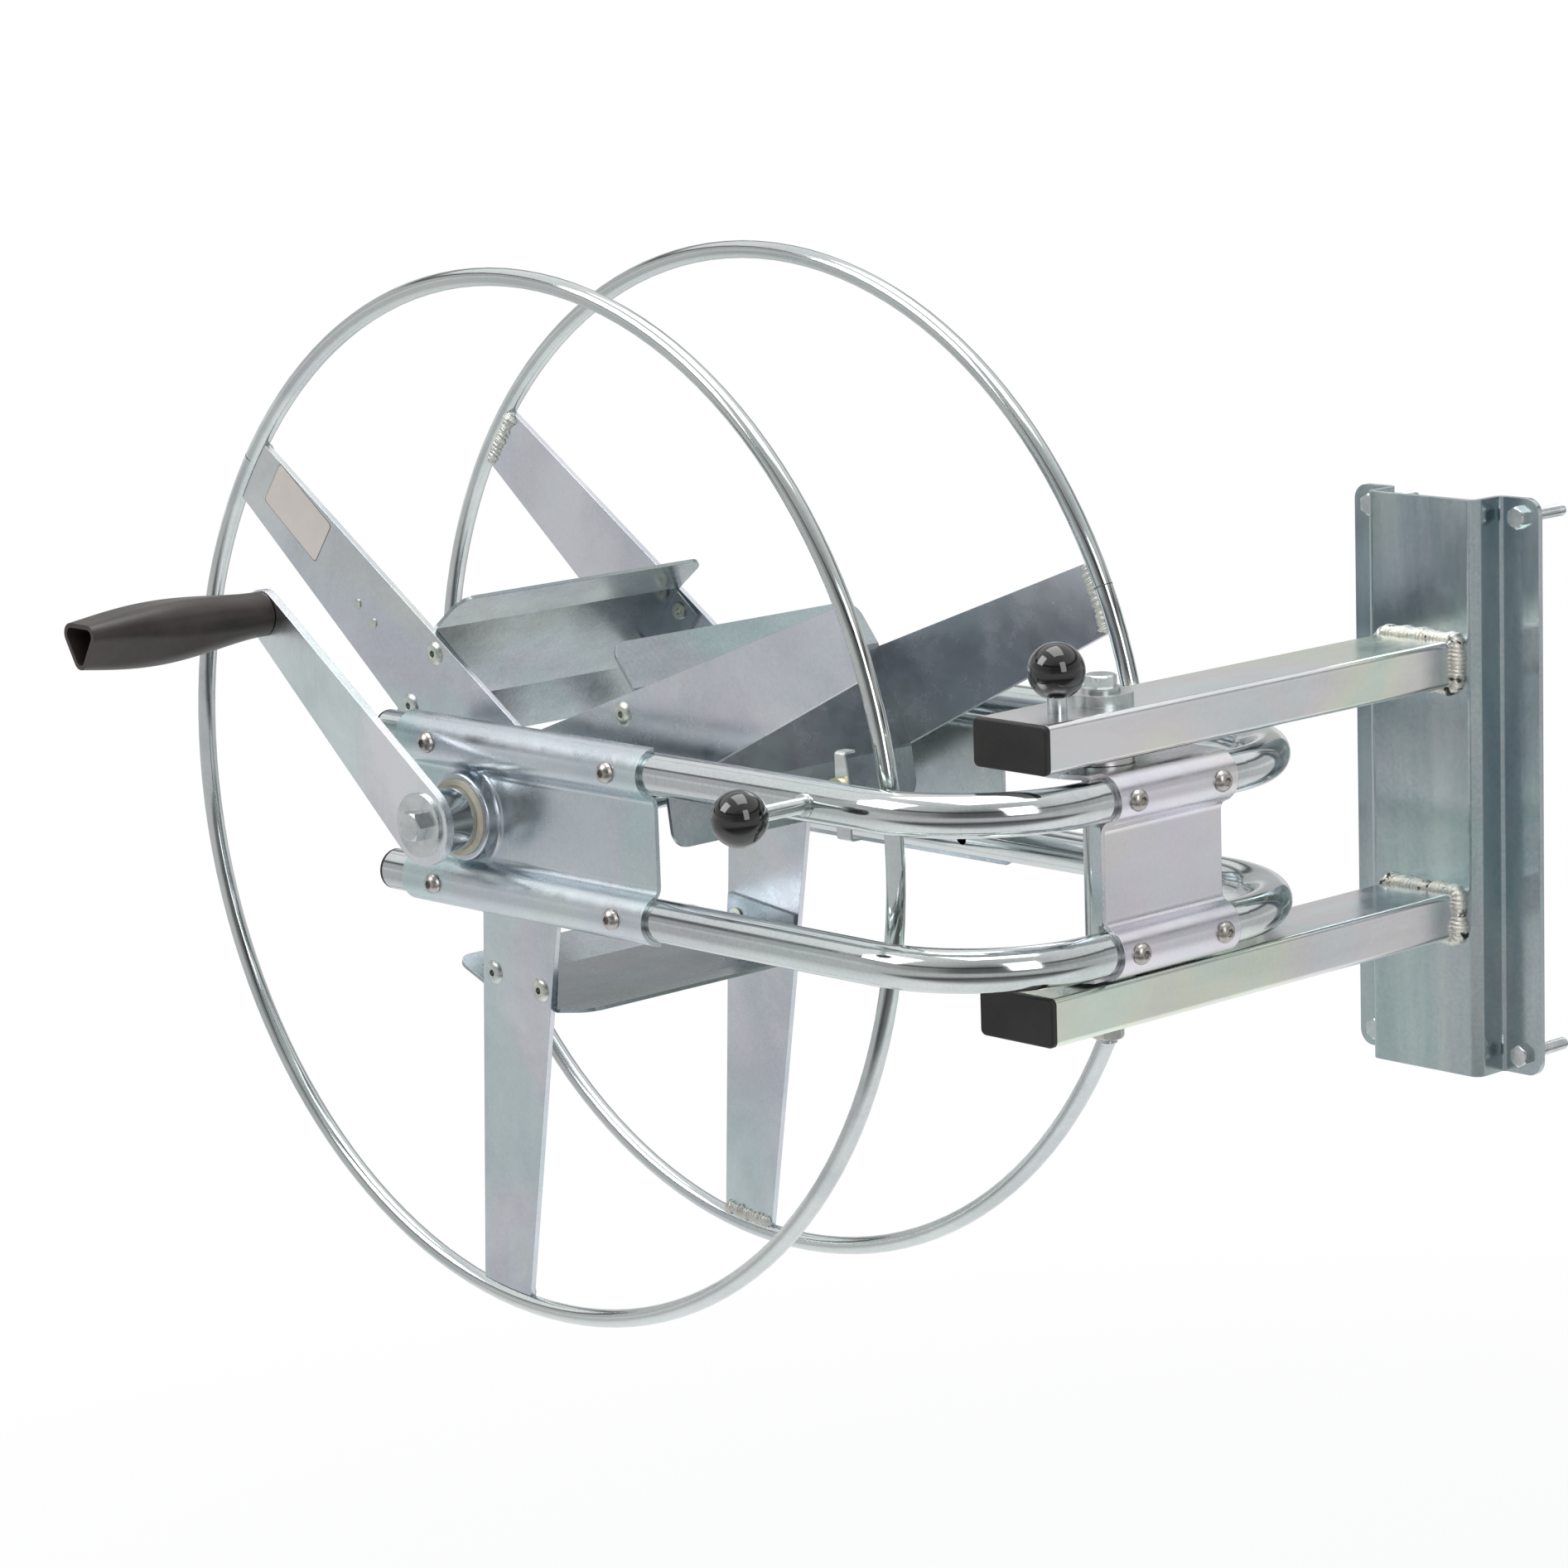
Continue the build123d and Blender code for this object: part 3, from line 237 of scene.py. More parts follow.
tree.links.new(tree.nodes.new("ShaderNodeTexCoord").outputs["Object"], distance.inputs[0])
fade = spread(tree, distance.outputs["Value"], 1.2, 2.4, 0.72, 1.0)
tree.links.new(sums(tree, "MULTIPLY", looking, fade), floor_mix.inputs[0])
sweep_front = tree.nodes.new("ShaderNodeVectorMath")
sweep_front.operation = "DOT_PRODUCT"
sweep_front.inputs[1].default_value = Vector((back.x, back.y, 0)).normalized()
tree.links.new(distance.inputs[0].links[0].from_socket, sweep_front.inputs[0])
front_shade = spread(tree, sweep_front.outputs["Value"], 0.75, 1.25, 1.0, 0.10)
side_shade = spread(tree, distance.outputs["Value"], 1.3, 2.6, 1.0, 0.62)
far_shade = spread(tree, distance.outputs["Value"], 2.2, 3.6, 0.0, 0.60)
mirrored = sums(tree, "MAXIMUM", sums(tree, "MULTIPLY", front_shade, side_shade), far_shade)
glossy = path["Is Glossy Ray"]
unseen = sums(tree, "SUBTRACT", 1.0, glossy)
tree.links.new(
    sums(tree, "ADD", sums(tree, "MULTIPLY", glossy, mirrored), unseen), floor_glow.inputs["Strength"])
tree.links.new(floor_shader.outputs[0], floor_mix.inputs[1])
tree.links.new(floor_glow.outputs[0], floor_mix.inputs[2])
tree.links.new(floor_mix.outputs[0], tree.nodes["Material Output"].inputs["Surface"])
floor.data.materials.append(floor_paint)

# Wall bracket
# A hat section of 4 mm sheet, bent cold, bright zinc plated and held to the wall by its two flanges. Plated
# sheet is blue grey with drawn-out clouds, fine grain and a thin passivation film that tints it.
def new_material(name):
    """Material with a Principled shader, returned with its tree, its shader and Object coordinates."""
    material = bpy.data.materials.new(name)
    material.use_nodes = True
    tree = material.node_tree
    place = tree.nodes.new("ShaderNodeTexCoord").outputs["Object"]
    return material, tree, tree.nodes["Principled BSDF"], place


def stretched(tree, place, scale, turn=(0, 0, 0)):
    """Coordinates turned and scaled, so that a pattern is drawn out along the axes with small scales."""
    mapping = tree.nodes.new("ShaderNodeMapping")
    mapping.inputs["Scale"].default_value = scale
    mapping.inputs["Rotation"].default_value = turn
    tree.links.new(place, mapping.inputs["Vector"])
    return mapping.outputs["Vector"]


def noise(tree, place, scale, detail=3.0, roughness=0.55, distortion=0.0):
    """Factor of a noise texture, about 0.5 on average."""
    texture = tree.nodes.new("ShaderNodeTexNoise")
    texture.inputs["Scale"].default_value = scale
    texture.inputs["Detail"].default_value = detail
    texture.inputs["Roughness"].default_value = roughness
    texture.inputs["Distortion"].default_value = distortion
    tree.links.new(place, texture.inputs["Vector"])
    return texture.outputs["Fac"]


def raised(tree, heights, rounding=0.0):
    """Normal from stacked bumps: heights are (factor, depth in metres). Rounding softens hard edges in metres."""
    normal = None
    if rounding > 0:
        edge = tree.nodes.new("ShaderNodeBevel")
        edge.samples = 4
        edge.inputs["Radius"].default_value = rounding
        normal = edge.outputs["Normal"]
    for factor, depth in heights:
        bump = tree.nodes.new("ShaderNodeBump")
        bump.inputs["Distance"].default_value = depth
        tree.links.new(factor, bump.inputs["Height"])
        if normal is not None:
            tree.links.new(normal, bump.inputs["Normal"])
        normal = bump.outputs["Normal"]
    return normal


def scratches(tree, place, turn, fineness, threshold):
    """Thin straight marks one way: the peaks of a noise drawn out forty times along one axis."""
    marks = noise(tree, stretched(tree, place, (fineness, fineness, fineness / 40), turn), 1.0, 1.0)
    return spread(tree, marks, threshold, threshold + 0.04, 0.0, 1.0)


def zinc_finish(name, dark, light, tints, roughness, grain, cloud=9.0, tint_amount=0.6, drawn=(1, 1, 1), scuffs=0.0):
    """Plated metal: clouds between two tones, broad tints laid over them, fine grain and blotches in bump and
    roughness, and straight scuffs in two directions where the piece is handled."""
    material, tree, shader, place = new_material(name)
    clouds = noise(tree, stretched(tree, place, drawn), cloud, 5.0, 0.62, 0.4)
    speckle = noise(tree, place, 420.0, 2.0, 0.6)
    film = ramp(tree, noise(tree, place, 5.0, 2.0, 0.5, 0.8), tints)
    tone = blended(tree, "MULTIPLY", tint_amount, ramp(tree, clouds, ((0.36, dark), (0.64, light))), film)
    tone = blended(tree, "OVERLAY", 0.16, tone, ramp(tree, speckle, greys((0.3, 0.3), (0.7, 0.7))))
    blotch = noise(tree, place, 42.0, 4.0, 0.62)
    gloss = spread(tree, blotch, 0.3, 0.7, roughness * 0.80, roughness * 1.25)
    heights = [(speckle, grain), (blotch, grain * 2.0)]
    if scuffs > 0:
        first = scratches(tree, place, (0, 0.5, 0), 900.0, 0.60)
        second = scratches(tree, place, (0, -0.9, 0.3), 640.0, 0.62)
        marks = sums(tree, "MAXIMUM", first, second)
        tone = blended(tree, "MIX", sums(tree, "MULTIPLY", marks, scuffs), tone, (0.86, 0.88, 0.89))
        heights.append((marks, -0.00002))
    tree.links.new(tone, shader.inputs["Base Color"])
    tree.links.new(gloss, shader.inputs["Roughness"])
    tree.links.new(raised(tree, heights, 0.0005), shader.inputs["Normal"])
    shader.inputs["Metallic"].default_value = 1.0
    return material


def dress(material, *names):
    """Gives a finish to pieces whose shape is already right."""
    for name in names:
        nodes[name].data.materials.clear()
        nodes[name].data.materials.append(material)


cool_film = (
    (0.30, (1.0, 0.98, 0.90)),
    (0.42, (0.97, 0.98, 1.0)),
    (0.52, (1.0, 0.95, 0.98)),
    (0.64, (0.91, 1.0, 0.98)),
)
bracket_zinc = zinc_finish(
    "zinc_sheet_bracket", (0.34, 0.43, 0.46), (0.60, 0.67, 0.67), cool_film, 0.20, 0.00002,
    cloud=11.0, drawn=(1, 1, 0.12), tint_amount=0.8,
)
dress(bracket_zinc, "wall_bracket")

# Wall bolts
# Four zinc plated hexagon bolts with a waisted neck and a rolled thread, through the flanges into the wall.
def closed_faces(grid, looped):
    """Four-sided faces between neighbours of one grid, triangles to the middle of each open end, and the
    volume they hold: a sixth of the sum of each triangle's corner a dot (b cross c)."""
    stations, turns = grid.shape[:2]
    rows = np.arange(stations if looped else stations - 1)[:, None]
    columns = np.arange(turns)[None, :]
    after, beside = (rows + 1) % stations, (columns + 1) % turns
    corners = (rows * turns + columns, rows * turns + beside, after * turns + beside, after * turns + columns)
    quads = np.stack(np.broadcast_arrays(*corners), -1).reshape(-1, 4)
    points = grid.reshape(-1, 3)
    caps = np.zeros((0, 3), int)
    if not looped:
        points = np.concatenate((points, grid[0].mean(0)[None], grid[-1].mean(0)[None]))
        around, along = columns[0], beside[0]
        last = (stations - 1) * turns
        first_cap = np.stack((along, around, np.full(turns, stations * turns)), -1)
        last_cap = np.stack((last + around, last + along, np.full(turns, stations * turns + 1)), -1)
        caps = np.concatenate((first_cap, last_cap))
    triangles = np.concatenate((quads[:, :3], quads[:, [0, 2, 3]], caps))
    a, b, c = (points[triangles[:, corner]] for corner in range(3))
    return points, quads, caps, np.einsum("ij,ij->i", a, np.cross(b, c)).sum() / 6


def skin(name, grids, finish, body, looped=False, sharp=38.0):
    """Closed surfaces over grids of points, stations by turns round the section, each turned to face outwards
    where the volume it holds comes out negative."""
    points, faces, count = [], [], 0
    for grid in grids:
        spots, quads, caps, volume = closed_faces(grid, looped)
        order = slice(None, None, -1) if volume < 0 else slice(None)
        faces += (quads[:, order] + count).tolist() + (caps[:, order] + count).tolist()
        points.append(spots)
        count += len(spots)
    mesh = bpy.data.meshes.new(name)
    mesh.from_pydata(np.concatenate(points).tolist(), [], faces)
    mesh.polygons.foreach_set("use_smooth", np.ones(len(faces), bool))
    mesh.set_sharp_from_angle(angle=math.radians(sharp))
    mesh.materials.append(finish)
    piece = bpy.data.objects.new(name, mesh)
    scene.collection.objects.link(piece)
    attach(piece, body)
    return piece


def bolt(seat, axis, across, head, neck, neck_radius, shank, radius, pitch, thread):
    """Hexagon bolt as one surface round its axis, seat at the origin. Head: half the width over the cosine of
    the angle from the nearest flat, cut by a thirty-degree cone. Thread: the radius less a triangle wave of the
    length over the pitch, less the turn, and a cone at the tip."""
    turns = 48
    turn = np.linspace(0, 2 * np.pi, turns, endpoint=False)[None, :]
    flat = np.cos((turn + np.pi / 6) % (np.pi / 3) - np.pi / 6)
    face = across / 2 * 0.95
    crown = np.array([0.0, 0.12, 0.25, 0.5, 1.0]) * head
    head_length = -head + crown[:, None]
    head_radius = np.minimum(across / 2 / flat, face + crown[:, None] / math.tan(math.radians(30)))
    plain_length = np.array([0.0, neck, neck, shank - thread])[:, None]
    plain_radius = np.array([neck_radius, neck_radius, radius, radius])[:, None] + 0 * turn
    rise = np.arange(shank - thread, shank, pitch / 6)[1:, None]
    wave = np.abs(((rise / pitch - turn / (2 * np.pi)) % 1.0) * 2 - 1)
    grip = np.minimum((rise - shank + thread) / pitch, 1.0)
    thread_radius = np.minimum(radius - 0.6 * pitch * wave * grip, radius - pitch + (shank - rise))
    length = np.concatenate((head_length, plain_length, rise))
    outline = np.concatenate((head_radius, plain_radius, thread_radius))
    axis = np.array(axis, float)
    across_one = np.array((axis[1], axis[2], axis[0]))
    across_two = np.cross(axis, across_one)
    rim = np.cos(turn)[..., None] * across_one + np.sin(turn)[..., None] * across_two
    return np.array(seat) + length[..., None] * axis + outline[..., None] * rim


wall_bolt_low, wall_bolt_high = (np.array(corner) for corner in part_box("wall_bolts"))
bracket_depth_sheet = 0.004
wall_bolt_seats = [
    (side * (wall_bolt_high[0] - 0.0075), -bracket_depth_sheet, end * (wall_bolt_high[2] - 0.0065))
    for side in (-1, 1) for end in (-1, 1)
]
bolt_zinc = zinc_finish(
    "zinc_hardware", (0.58, 0.62, 0.62), (0.76, 0.80, 0.80), cool_film, 0.24, 0.00001, cloud=60.0, tint_amount=0.5,
)
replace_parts(skin("wall_bolts_threaded", [
    bolt(seat, (0, 1, 0), 0.013, 0.00504, 0.004, 0.0034, 0.044, 0.004, 0.00125, 0.0392) for seat in wall_bolt_seats
], bolt_zinc, "wall_mount", sharp=32.0), "wall_bolts")

# Arms and their welds
# Rectangular tube with a bright iridescent film, and a lumpy bead all round where each meets the bracket's web.
# The beads are pale and crusty on top; on the right they are bright metal with burnt patches.
def bead(path, side, out, half_width, rise, ripple, seed, looped=False):
    """Weld run swept along a path: a flat oval section sunk a little. Its size follows |sin(pi (length/ripple -
    0.35 cos turn))| for the crescent ripples, three slow sines for lumps, and tapers at the ends of an open run."""
    following = np.roll(path, -1, axis=0) if looped else np.concatenate((path[1:], path[-1:]))
    steps = np.linalg.norm(following - path, axis=1)
    share = np.concatenate(([0], np.cumsum(steps)[:-1])) / steps.sum()
    waves = round(steps.sum() / ripple)
    turn = np.linspace(0, 2 * np.pi, 18, endpoint=False)[None, :]
    phases = np.random.default_rng(seed).uniform(0, 2 * np.pi, 4)
    lumps = sum(np.sin(2 * np.pi * count * share + phase) for count, phase in zip((2, 5, 9, 14), phases)) / 4
    taper = 1.0 if looped else np.sqrt(np.clip(1 - np.abs(2 * share - 1) ** 10, 0.02, 1))
    crescent = np.abs(np.sin(np.pi * (waves * share[:, None] - 0.35 * np.cos(turn))))
    swell = (taper * (1 + 0.30 * lumps))[:, None] * (0.90 + 0.16 * crescent)
    across = side[:, None, :] * (half_width * swell * np.cos(turn))[..., None]
    upward = out[:, None, :] * (rise * swell * np.maximum(np.sin(turn), -0.4))[..., None]
    return path[:, None, :] + across + upward


def rounded_loop(width, height, radius, count):
    """Rounded rectangle from its arc length: along each side, then round each corner, with its outward normals."""
    quarter = math.pi * radius / 2
    long_side, short_side = width - 2 * radius, height - 2 * radius
    total = 2 * (long_side + short_side) + 4 * quarter
    length = np.linspace(0, total, count, endpoint=False)
    knots = np.cumsum([0, long_side, quarter, short_side, quarter, long_side, quarter, short_side, quarter])
    angles = np.array([90, 90, 0, 0, -90, -90, -180, -180, -270])
    angle = np.radians(np.interp(length, knots, angles))
    x = np.interp(length, knots, np.array([-1, 1, 1, 1, 1, -1, -1, -1, -1]) * long_side / 2)
    z = np.interp(length, knots, np.array([1, 1, 1, -1, -1, -1, -1, 1, 1]) * short_side / 2)
    normal = np.stack((np.cos(angle), 0 * angle, np.sin(angle)), -1)
    return np.stack((x, 0 * x, z), -1) + normal * radius, normal


def weld_finish(name, pale, bright, burnt, burn_level, roughness):
    """Cast-looking metal: pale crust and bright metal in fine lumps, with burnt patches above a noise level."""
    material, tree, shader, place = new_material(name)
    crust = noise(tree, place, 150.0, 5.0, 0.7, 0.6)
    patches = noise(tree, place, 70.0, 3.0, 0.6, 1.2)
    tone = ramp(tree, crust, ((0.38, bright), (0.58, pale)))
    burn = spread(tree, patches, burn_level, burn_level + 0.05, 0.0, 1.0)
    tree.links.new(blended(tree, "MIX", burn, tone, burnt), shader.inputs["Base Color"])
    tree.links.new(spread(tree, crust, 0.3, 0.7, roughness * 0.7, roughness * 1.4), shader.inputs["Roughness"])
    pits = noise(tree, place, 900.0, 2.0, 0.6)
    tree.links.new(raised(tree, ((crust, 0.0006), (pits, 0.00015))), shader.inputs["Normal"])
    shader.inputs["Metallic"].default_value = 0.85
    return material


arm_film = (
    (0.28, (0.86, 1.0, 0.92)),
    (0.42, (1.0, 0.99, 0.86)),
    (0.54, (1.0, 0.92, 0.95)),
    (0.68, (0.90, 0.98, 1.0)),
)
arm_zinc = zinc_finish(
    "zinc_tube_arm", (0.74, 0.79, 0.79), (0.88, 0.92, 0.91), arm_film, 0.22, 0.00002, cloud=14.0, tint_amount=1.0,
    drawn=(1, 0.25, 1),
)
dress(arm_zinc, "upper_arm", "lower_arm")
arm_weld_metal = weld_finish("weld_metal_arms", (0.74, 0.72, 0.64), (0.66, 0.67, 0.65), (0.05, 0.045, 0.04), 0.60, 0.34)
web_face = -0.0305
arm_loops = []
for arm_number, arm in enumerate(("upper_arm", "lower_arm")):
    low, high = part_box(arm)
    loop, normal = rounded_loop(high.x - low.x + 0.001, high.z - low.z + 0.001, 0.0045, 420)
    loop = loop + np.array(((low.x + high.x) / 2, web_face, (low.z + high.z) / 2))
    outwards = np.tile((0.0, -1.0, 0.0), (len(loop), 1))
    arm_loops.append(bead(loop, normal, outwards, 0.0046, 0.0062, 0.0026, 11 + arm_number, looped=True))
skin("arm_welds", arm_loops, arm_weld_metal, "wall_mount", looped=True, sharp=180.0)

# Arm end caps
# Fine grained black polyethylene plugs with a flat head, pushed into the arms' ends.
def plastic_finish(name, dark, light, roughness, grain_size, grain, mottle=30.0, sheen=0.5):
    """Moulded plastic: two near tones in soft mottles, a fine spark-eroded grain in bump and roughness."""
    material, tree, shader, place = new_material(name)
    tone = ramp(tree, noise(tree, place, mottle, 4.0, 0.6, 0.3), ((0.35, dark), (0.65, light)))
    texture = noise(tree, place, grain_size, 3.0, 0.6)
    tree.links.new(tone, shader.inputs["Base Color"])
    tree.links.new(spread(tree, texture, 0.3, 0.7, roughness * 0.85, roughness * 1.2), shader.inputs["Roughness"])
    tree.links.new(raised(tree, ((texture, grain),), 0.0004), shader.inputs["Normal"])
    shader.inputs["Specular IOR Level"].default_value = sheen
    return material


cap_plastic = plastic_finish("black_plastic", (0.009, 0.008, 0.0075), (0.020, 0.017, 0.016), 0.50, 1300.0, 0.00010)
dress(cap_plastic, "arm_end_caps", "tube_end_plugs")

# Pivot hardware
# M12 bolt down through both arms and the pivot tube, thick washers, a split spring washer and a nut, all plated.
pivot_low, pivot_high = (np.array(corner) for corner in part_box("pivot_bolt"))
pivot_x, pivot_y = joint_place["frame_swing"][:2]
pivot_head = 0.00756
pivot_seat = pivot_high[2] - pivot_head
pivot_length = pivot_seat - pivot_low[2]
pivot_neck = 0.02
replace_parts(skin("pivot_bolt_threaded", [
    bolt((pivot_x, pivot_y, pivot_seat), (0, 0, -1), 0.018, pivot_head, pivot_neck, 0.006, pivot_length, 0.006,
         0.00175, 0.030),
], bolt_zinc, "wall_mount", sharp=32.0), "pivot_bolt")
stop_low, stop_high = (np.array(corner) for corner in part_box("swing_stop_bolt"))
stop_head = 0.00504
stop_length = stop_high[2] - stop_low[2] - stop_head
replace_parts(skin("swing_stop_bolt_threaded", [
    bolt(((stop_low[0] + stop_high[0]) / 2, (stop_low[1] + stop_high[1]) / 2, stop_low[2] + stop_head), (0, 0, 1),
         0.013, stop_head, 0.002, 0.004, stop_length, 0.004, 0.00125, stop_length - 0.004),
], bolt_zinc, "wall_mount", sharp=32.0), "swing_stop_bolt")
washer_zinc = zinc_finish(
    "zinc_hardware_washers", (0.52, 0.56, 0.55), (0.74, 0.77, 0.74), arm_film, 0.30, 0.00003, cloud=45.0,
    tint_amount=0.7,
)
dress(
    washer_zinc, "pivot_nut", "pivot_washer", "pivot_nut_washer", "pivot_spring_washer", "upper_thrust_washer",
    "lower_thrust_washer",
)

# Frame tubes
# Two U-shaped tubes of drawn steel, polished by the draw and plated like chrome, with plastic plugs in their
# open ends. They turn on a pivot tube, which is welded to them and to a backing bar.
drawn_film = (
    (0.30, (0.95, 1.0, 0.98)),
    (0.45, (1.0, 1.0, 0.97)),
    (0.60, (1.0, 0.98, 1.0)),
)
tube_zinc = zinc_finish(
    "zinc_tube", (0.54, 0.58, 0.59), (0.66, 0.70, 0.70), drawn_film, 0.10, 0.000006, cloud=16.0, tint_amount=0.6,
    drawn=(0.2, 1, 1),
)
dress(tube_zinc, "upper_frame_tube", "lower_frame_tube", "pivot_tube")
weld_metal = weld_finish("weld_metal", (0.66, 0.66, 0.60), (0.56, 0.58, 0.57), (0.10, 0.095, 0.085), 0.68, 0.40)
pivot_tube_low, pivot_tube_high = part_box("pivot_tube")
backing_low, backing_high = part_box("backing_bar")
pivot_run_height = np.linspace(pivot_tube_low.z + 0.004, pivot_tube_high.z - 0.004, 160)
pivot_runs = []
for run_number, run_offset in enumerate((-0.0055, 0.0055)):
    run = np.stack((
        np.full(160, (pivot_tube_high.x + backing_low.x) / 2), np.full(160, pivot_y + run_offset), pivot_run_height,
    ), -1)
    run_side = np.tile((1.0, 0.0, 0.0), (160, 1))
    run_out = np.tile((0.0, math.copysign(1.0, run_offset), 0.0), (160, 1))
    pivot_runs.append(bead(run, run_side, run_out, 0.0034, 0.0034, 0.0024, 21 + run_number))
skin("pivot_tube_welds", pivot_runs, weld_metal, "swivel_frame", sharp=180.0)

# Clamp plate and backing bar
# Sheet pressed over both tubes into an S curve each side, with a warm violet passivation, screwed to a plain bar.
violet_film = (
    (0.28, (1.0, 0.90, 0.96)),
    (0.44, (0.95, 0.93, 1.0)),
    (0.56, (1.0, 0.94, 0.92)),
    (0.70, (0.92, 0.96, 1.0)),
)
clamp_zinc = zinc_finish(
    "zinc_sheet_clamp", (0.74, 0.76, 0.78), (0.84, 0.85, 0.87), violet_film, 0.26, 0.00002, cloud=7.0, tint_amount=0.8,
)
dress(clamp_zinc, "clamp_plate")
screw_steel = zinc_finish(
    "screw_steel", (0.42, 0.40, 0.38), (0.58, 0.56, 0.53), cool_film, 0.30, 0.00002, cloud=120.0, tint_amount=0.2,
)
dress(screw_steel, "clamp_screws", "side_plate_screws")

# Side plates
# Pressed sheet round both tubes, with a deep drawn collar for the bearing: pale blue, evenly clouded.
plate_zinc = zinc_finish(
    "zinc_sheet_plate", (0.56, 0.63, 0.66), (0.66, 0.72, 0.75), cool_film, 0.27, 0.00003, cloud=8.0, tint_amount=0.8,
)
dress(plate_zinc, "near_side_plate", "far_side_plate", "backing_bar")

# Bearings and shaft
# Natural beige bushes in the drawn collars, and a bright turned shaft tube with plugged ends.
bush_plastic = plastic_finish(
    "bush_plastic", (0.46, 0.43, 0.33), (0.58, 0.55, 0.45), 0.42, 500.0, 0.00004, mottle=60.0, sheen=0.45,
)
dress(bush_plastic, "near_bearing_bush", "far_bearing_bush")
dress(tube_zinc, "reel_shaft")
dress(bolt_zinc, "shaft_end_bolt", "shaft_end_washer", "shaft_plugs")

# Hoops
# Bright round bar bent to a ring and butt welded, the joint ground flush. A thin dark band over the joint is painted
# shade along the seam line.
dress(tube_zinc, "near_ring", "far_ring")
hub = np.array(joint_place["reel_spin"])
bar_radius = 0.006
hoop_radius = 0.344


def about_hub(angle, radius, depth, across=0.0):
    """Points on the reel: angle about its axis in degrees, radius, place along Y, and a step square to the radius."""
    turn = np.radians(angle)
    along = np.stack((np.cos(turn), 0 * turn, np.sin(turn)), -1)
    beside = np.stack((-np.sin(turn), 0 * turn, np.cos(turn)), -1)
    shaft_line = np.array((hub[0], 0.0, hub[2]))
    return shaft_line + along * np.asarray(radius)[..., None] + beside * np.asarray(across)[..., None] + np.stack(
        (0 * turn, depth + 0 * turn, 0 * turn), -1)


# Very dark band laid just over the ring at each joint: painted shade along the seam.
seam_painted_shade = weld_finish("weld_metal_seam", (0.10, 0.10, 0.095), (0.16, 0.16, 0.15), (0.03, 0.03, 0.03), 0.55, 0.55)
seam_shade_grids = []
for ring, seam_angle in (("near_ring", 142.4), ("far_ring", 24.4)):
    low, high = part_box(ring)
    turn = np.linspace(0, 2 * np.pi, 40, endpoint=False)[None, :]
    station = np.array([-0.5, -0.3, 0.3, 0.5])[:, None] * 0.0009
    swell = np.array([0.990, 1.008, 1.008, 0.990])[:, None] * bar_radius
    angle = seam_angle + np.degrees(station / hoop_radius) + 0 * turn
    seam_shade_grids.append(about_hub(angle, hoop_radius + swell * np.cos(turn), (low.y + high.y) / 2 + swell * np.sin(turn)))
skin("hoop_seams", seam_shade_grids, seam_painted_shade, "reel", sharp=60.0)

# Spiders and their welds
# Laser cut sheet stars with three tapering spokes, welded to the hoops at the tips and to the shaft inside.
# Each tip has one rippled run along the inner face of the hoop, started with a blob.
spoke_zinc = zinc_finish(
    "zinc_sheet_spoke", (0.60, 0.64, 0.69), (0.75, 0.79, 0.82), cool_film, 0.25, 0.00003, cloud=10.0, tint_amount=0.9,
)
dress(spoke_zinc, "near_spider", "far_spider")
spoke_angles = (23.5, 143.5, 263.5)
tip_half_angle = 3.97
shaft_radius = 0.0212
tip_runs, shaft_runs = [], []
for spider, face, inward in (("near_spider", 1, 1.0), ("far_spider", 0, -1.0)):
    face_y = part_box(spider)[face].y
    for spoke_number, spoke_angle in enumerate(spoke_angles):
        angle = spoke_angle + np.linspace(-tip_half_angle, tip_half_angle, 150)
        start = np.exp(-((angle - angle[0]) / 0.7 - 0.8) ** 2)
        run = about_hub(angle, 0.3368 + 0.0006 * np.sin(angle * 9), face_y)
        radial = about_hub(angle, 1.0 + 0 * angle, 0.0) - about_hub(angle, 0 * angle, 0.0)
        outward = np.tile((0.0, inward, 0.0), (150, 1)) * (1 + 0.6 * start)[:, None]
        tip_runs.append(bead(run, radial * (1 + 0.25 * start)[:, None], outward, 0.0048, 0.0027, 0.0019,
                             31 + spoke_number + 3 * face))
    angle = np.linspace(0, 360, 240, endpoint=False)
    run = about_hub(angle, shaft_radius + 0.0005 + 0 * angle, face_y)
    radial = about_hub(angle, 1.0 + 0 * angle, 0.0) - about_hub(angle, 0 * angle, 0.0)
    outward = np.tile((0.0, inward, 0.0), (240, 1))
    shaft_runs.append(bead(run, radial, outward, 0.0036, 0.0034, 0.0024, 41 + face, looped=True))
skin("spoke_tip_welds", tip_runs, weld_metal, "reel", sharp=180.0)
skin("shaft_welds", shaft_runs, weld_metal, "reel", looped=True, sharp=180.0)

# Drum plates
# Three flared and flanged sheets that carry the first turns of hose, streaky and blind riveted by tabs. Their tone is
# darker than the other sheet, and that darkness is painted shade for their place inside the reel.
drum_zinc_painted_shade = zinc_finish(
    "zinc_sheet_drum", (0.30, 0.35, 0.37), (0.50, 0.55, 0.57), cool_film, 0.24, 0.00004, cloud=7.0, tint_amount=0.9,
    drawn=(1, 0.3, 1),
)
dress(drum_zinc_painted_shade, "drum_plate_1", "drum_plate_2", "drum_plate_3")
dress(washer_zinc, "drum_rivets", "spoke_rivets")

# Blank label
# A warm grey vinyl label with rounded corners and a thin dark printed edge, on the near upper spoke. It is blank.
label_angle = 143.5
label_span = (0.2515, 0.3175)
label_across = (-0.0242, 0.0092)


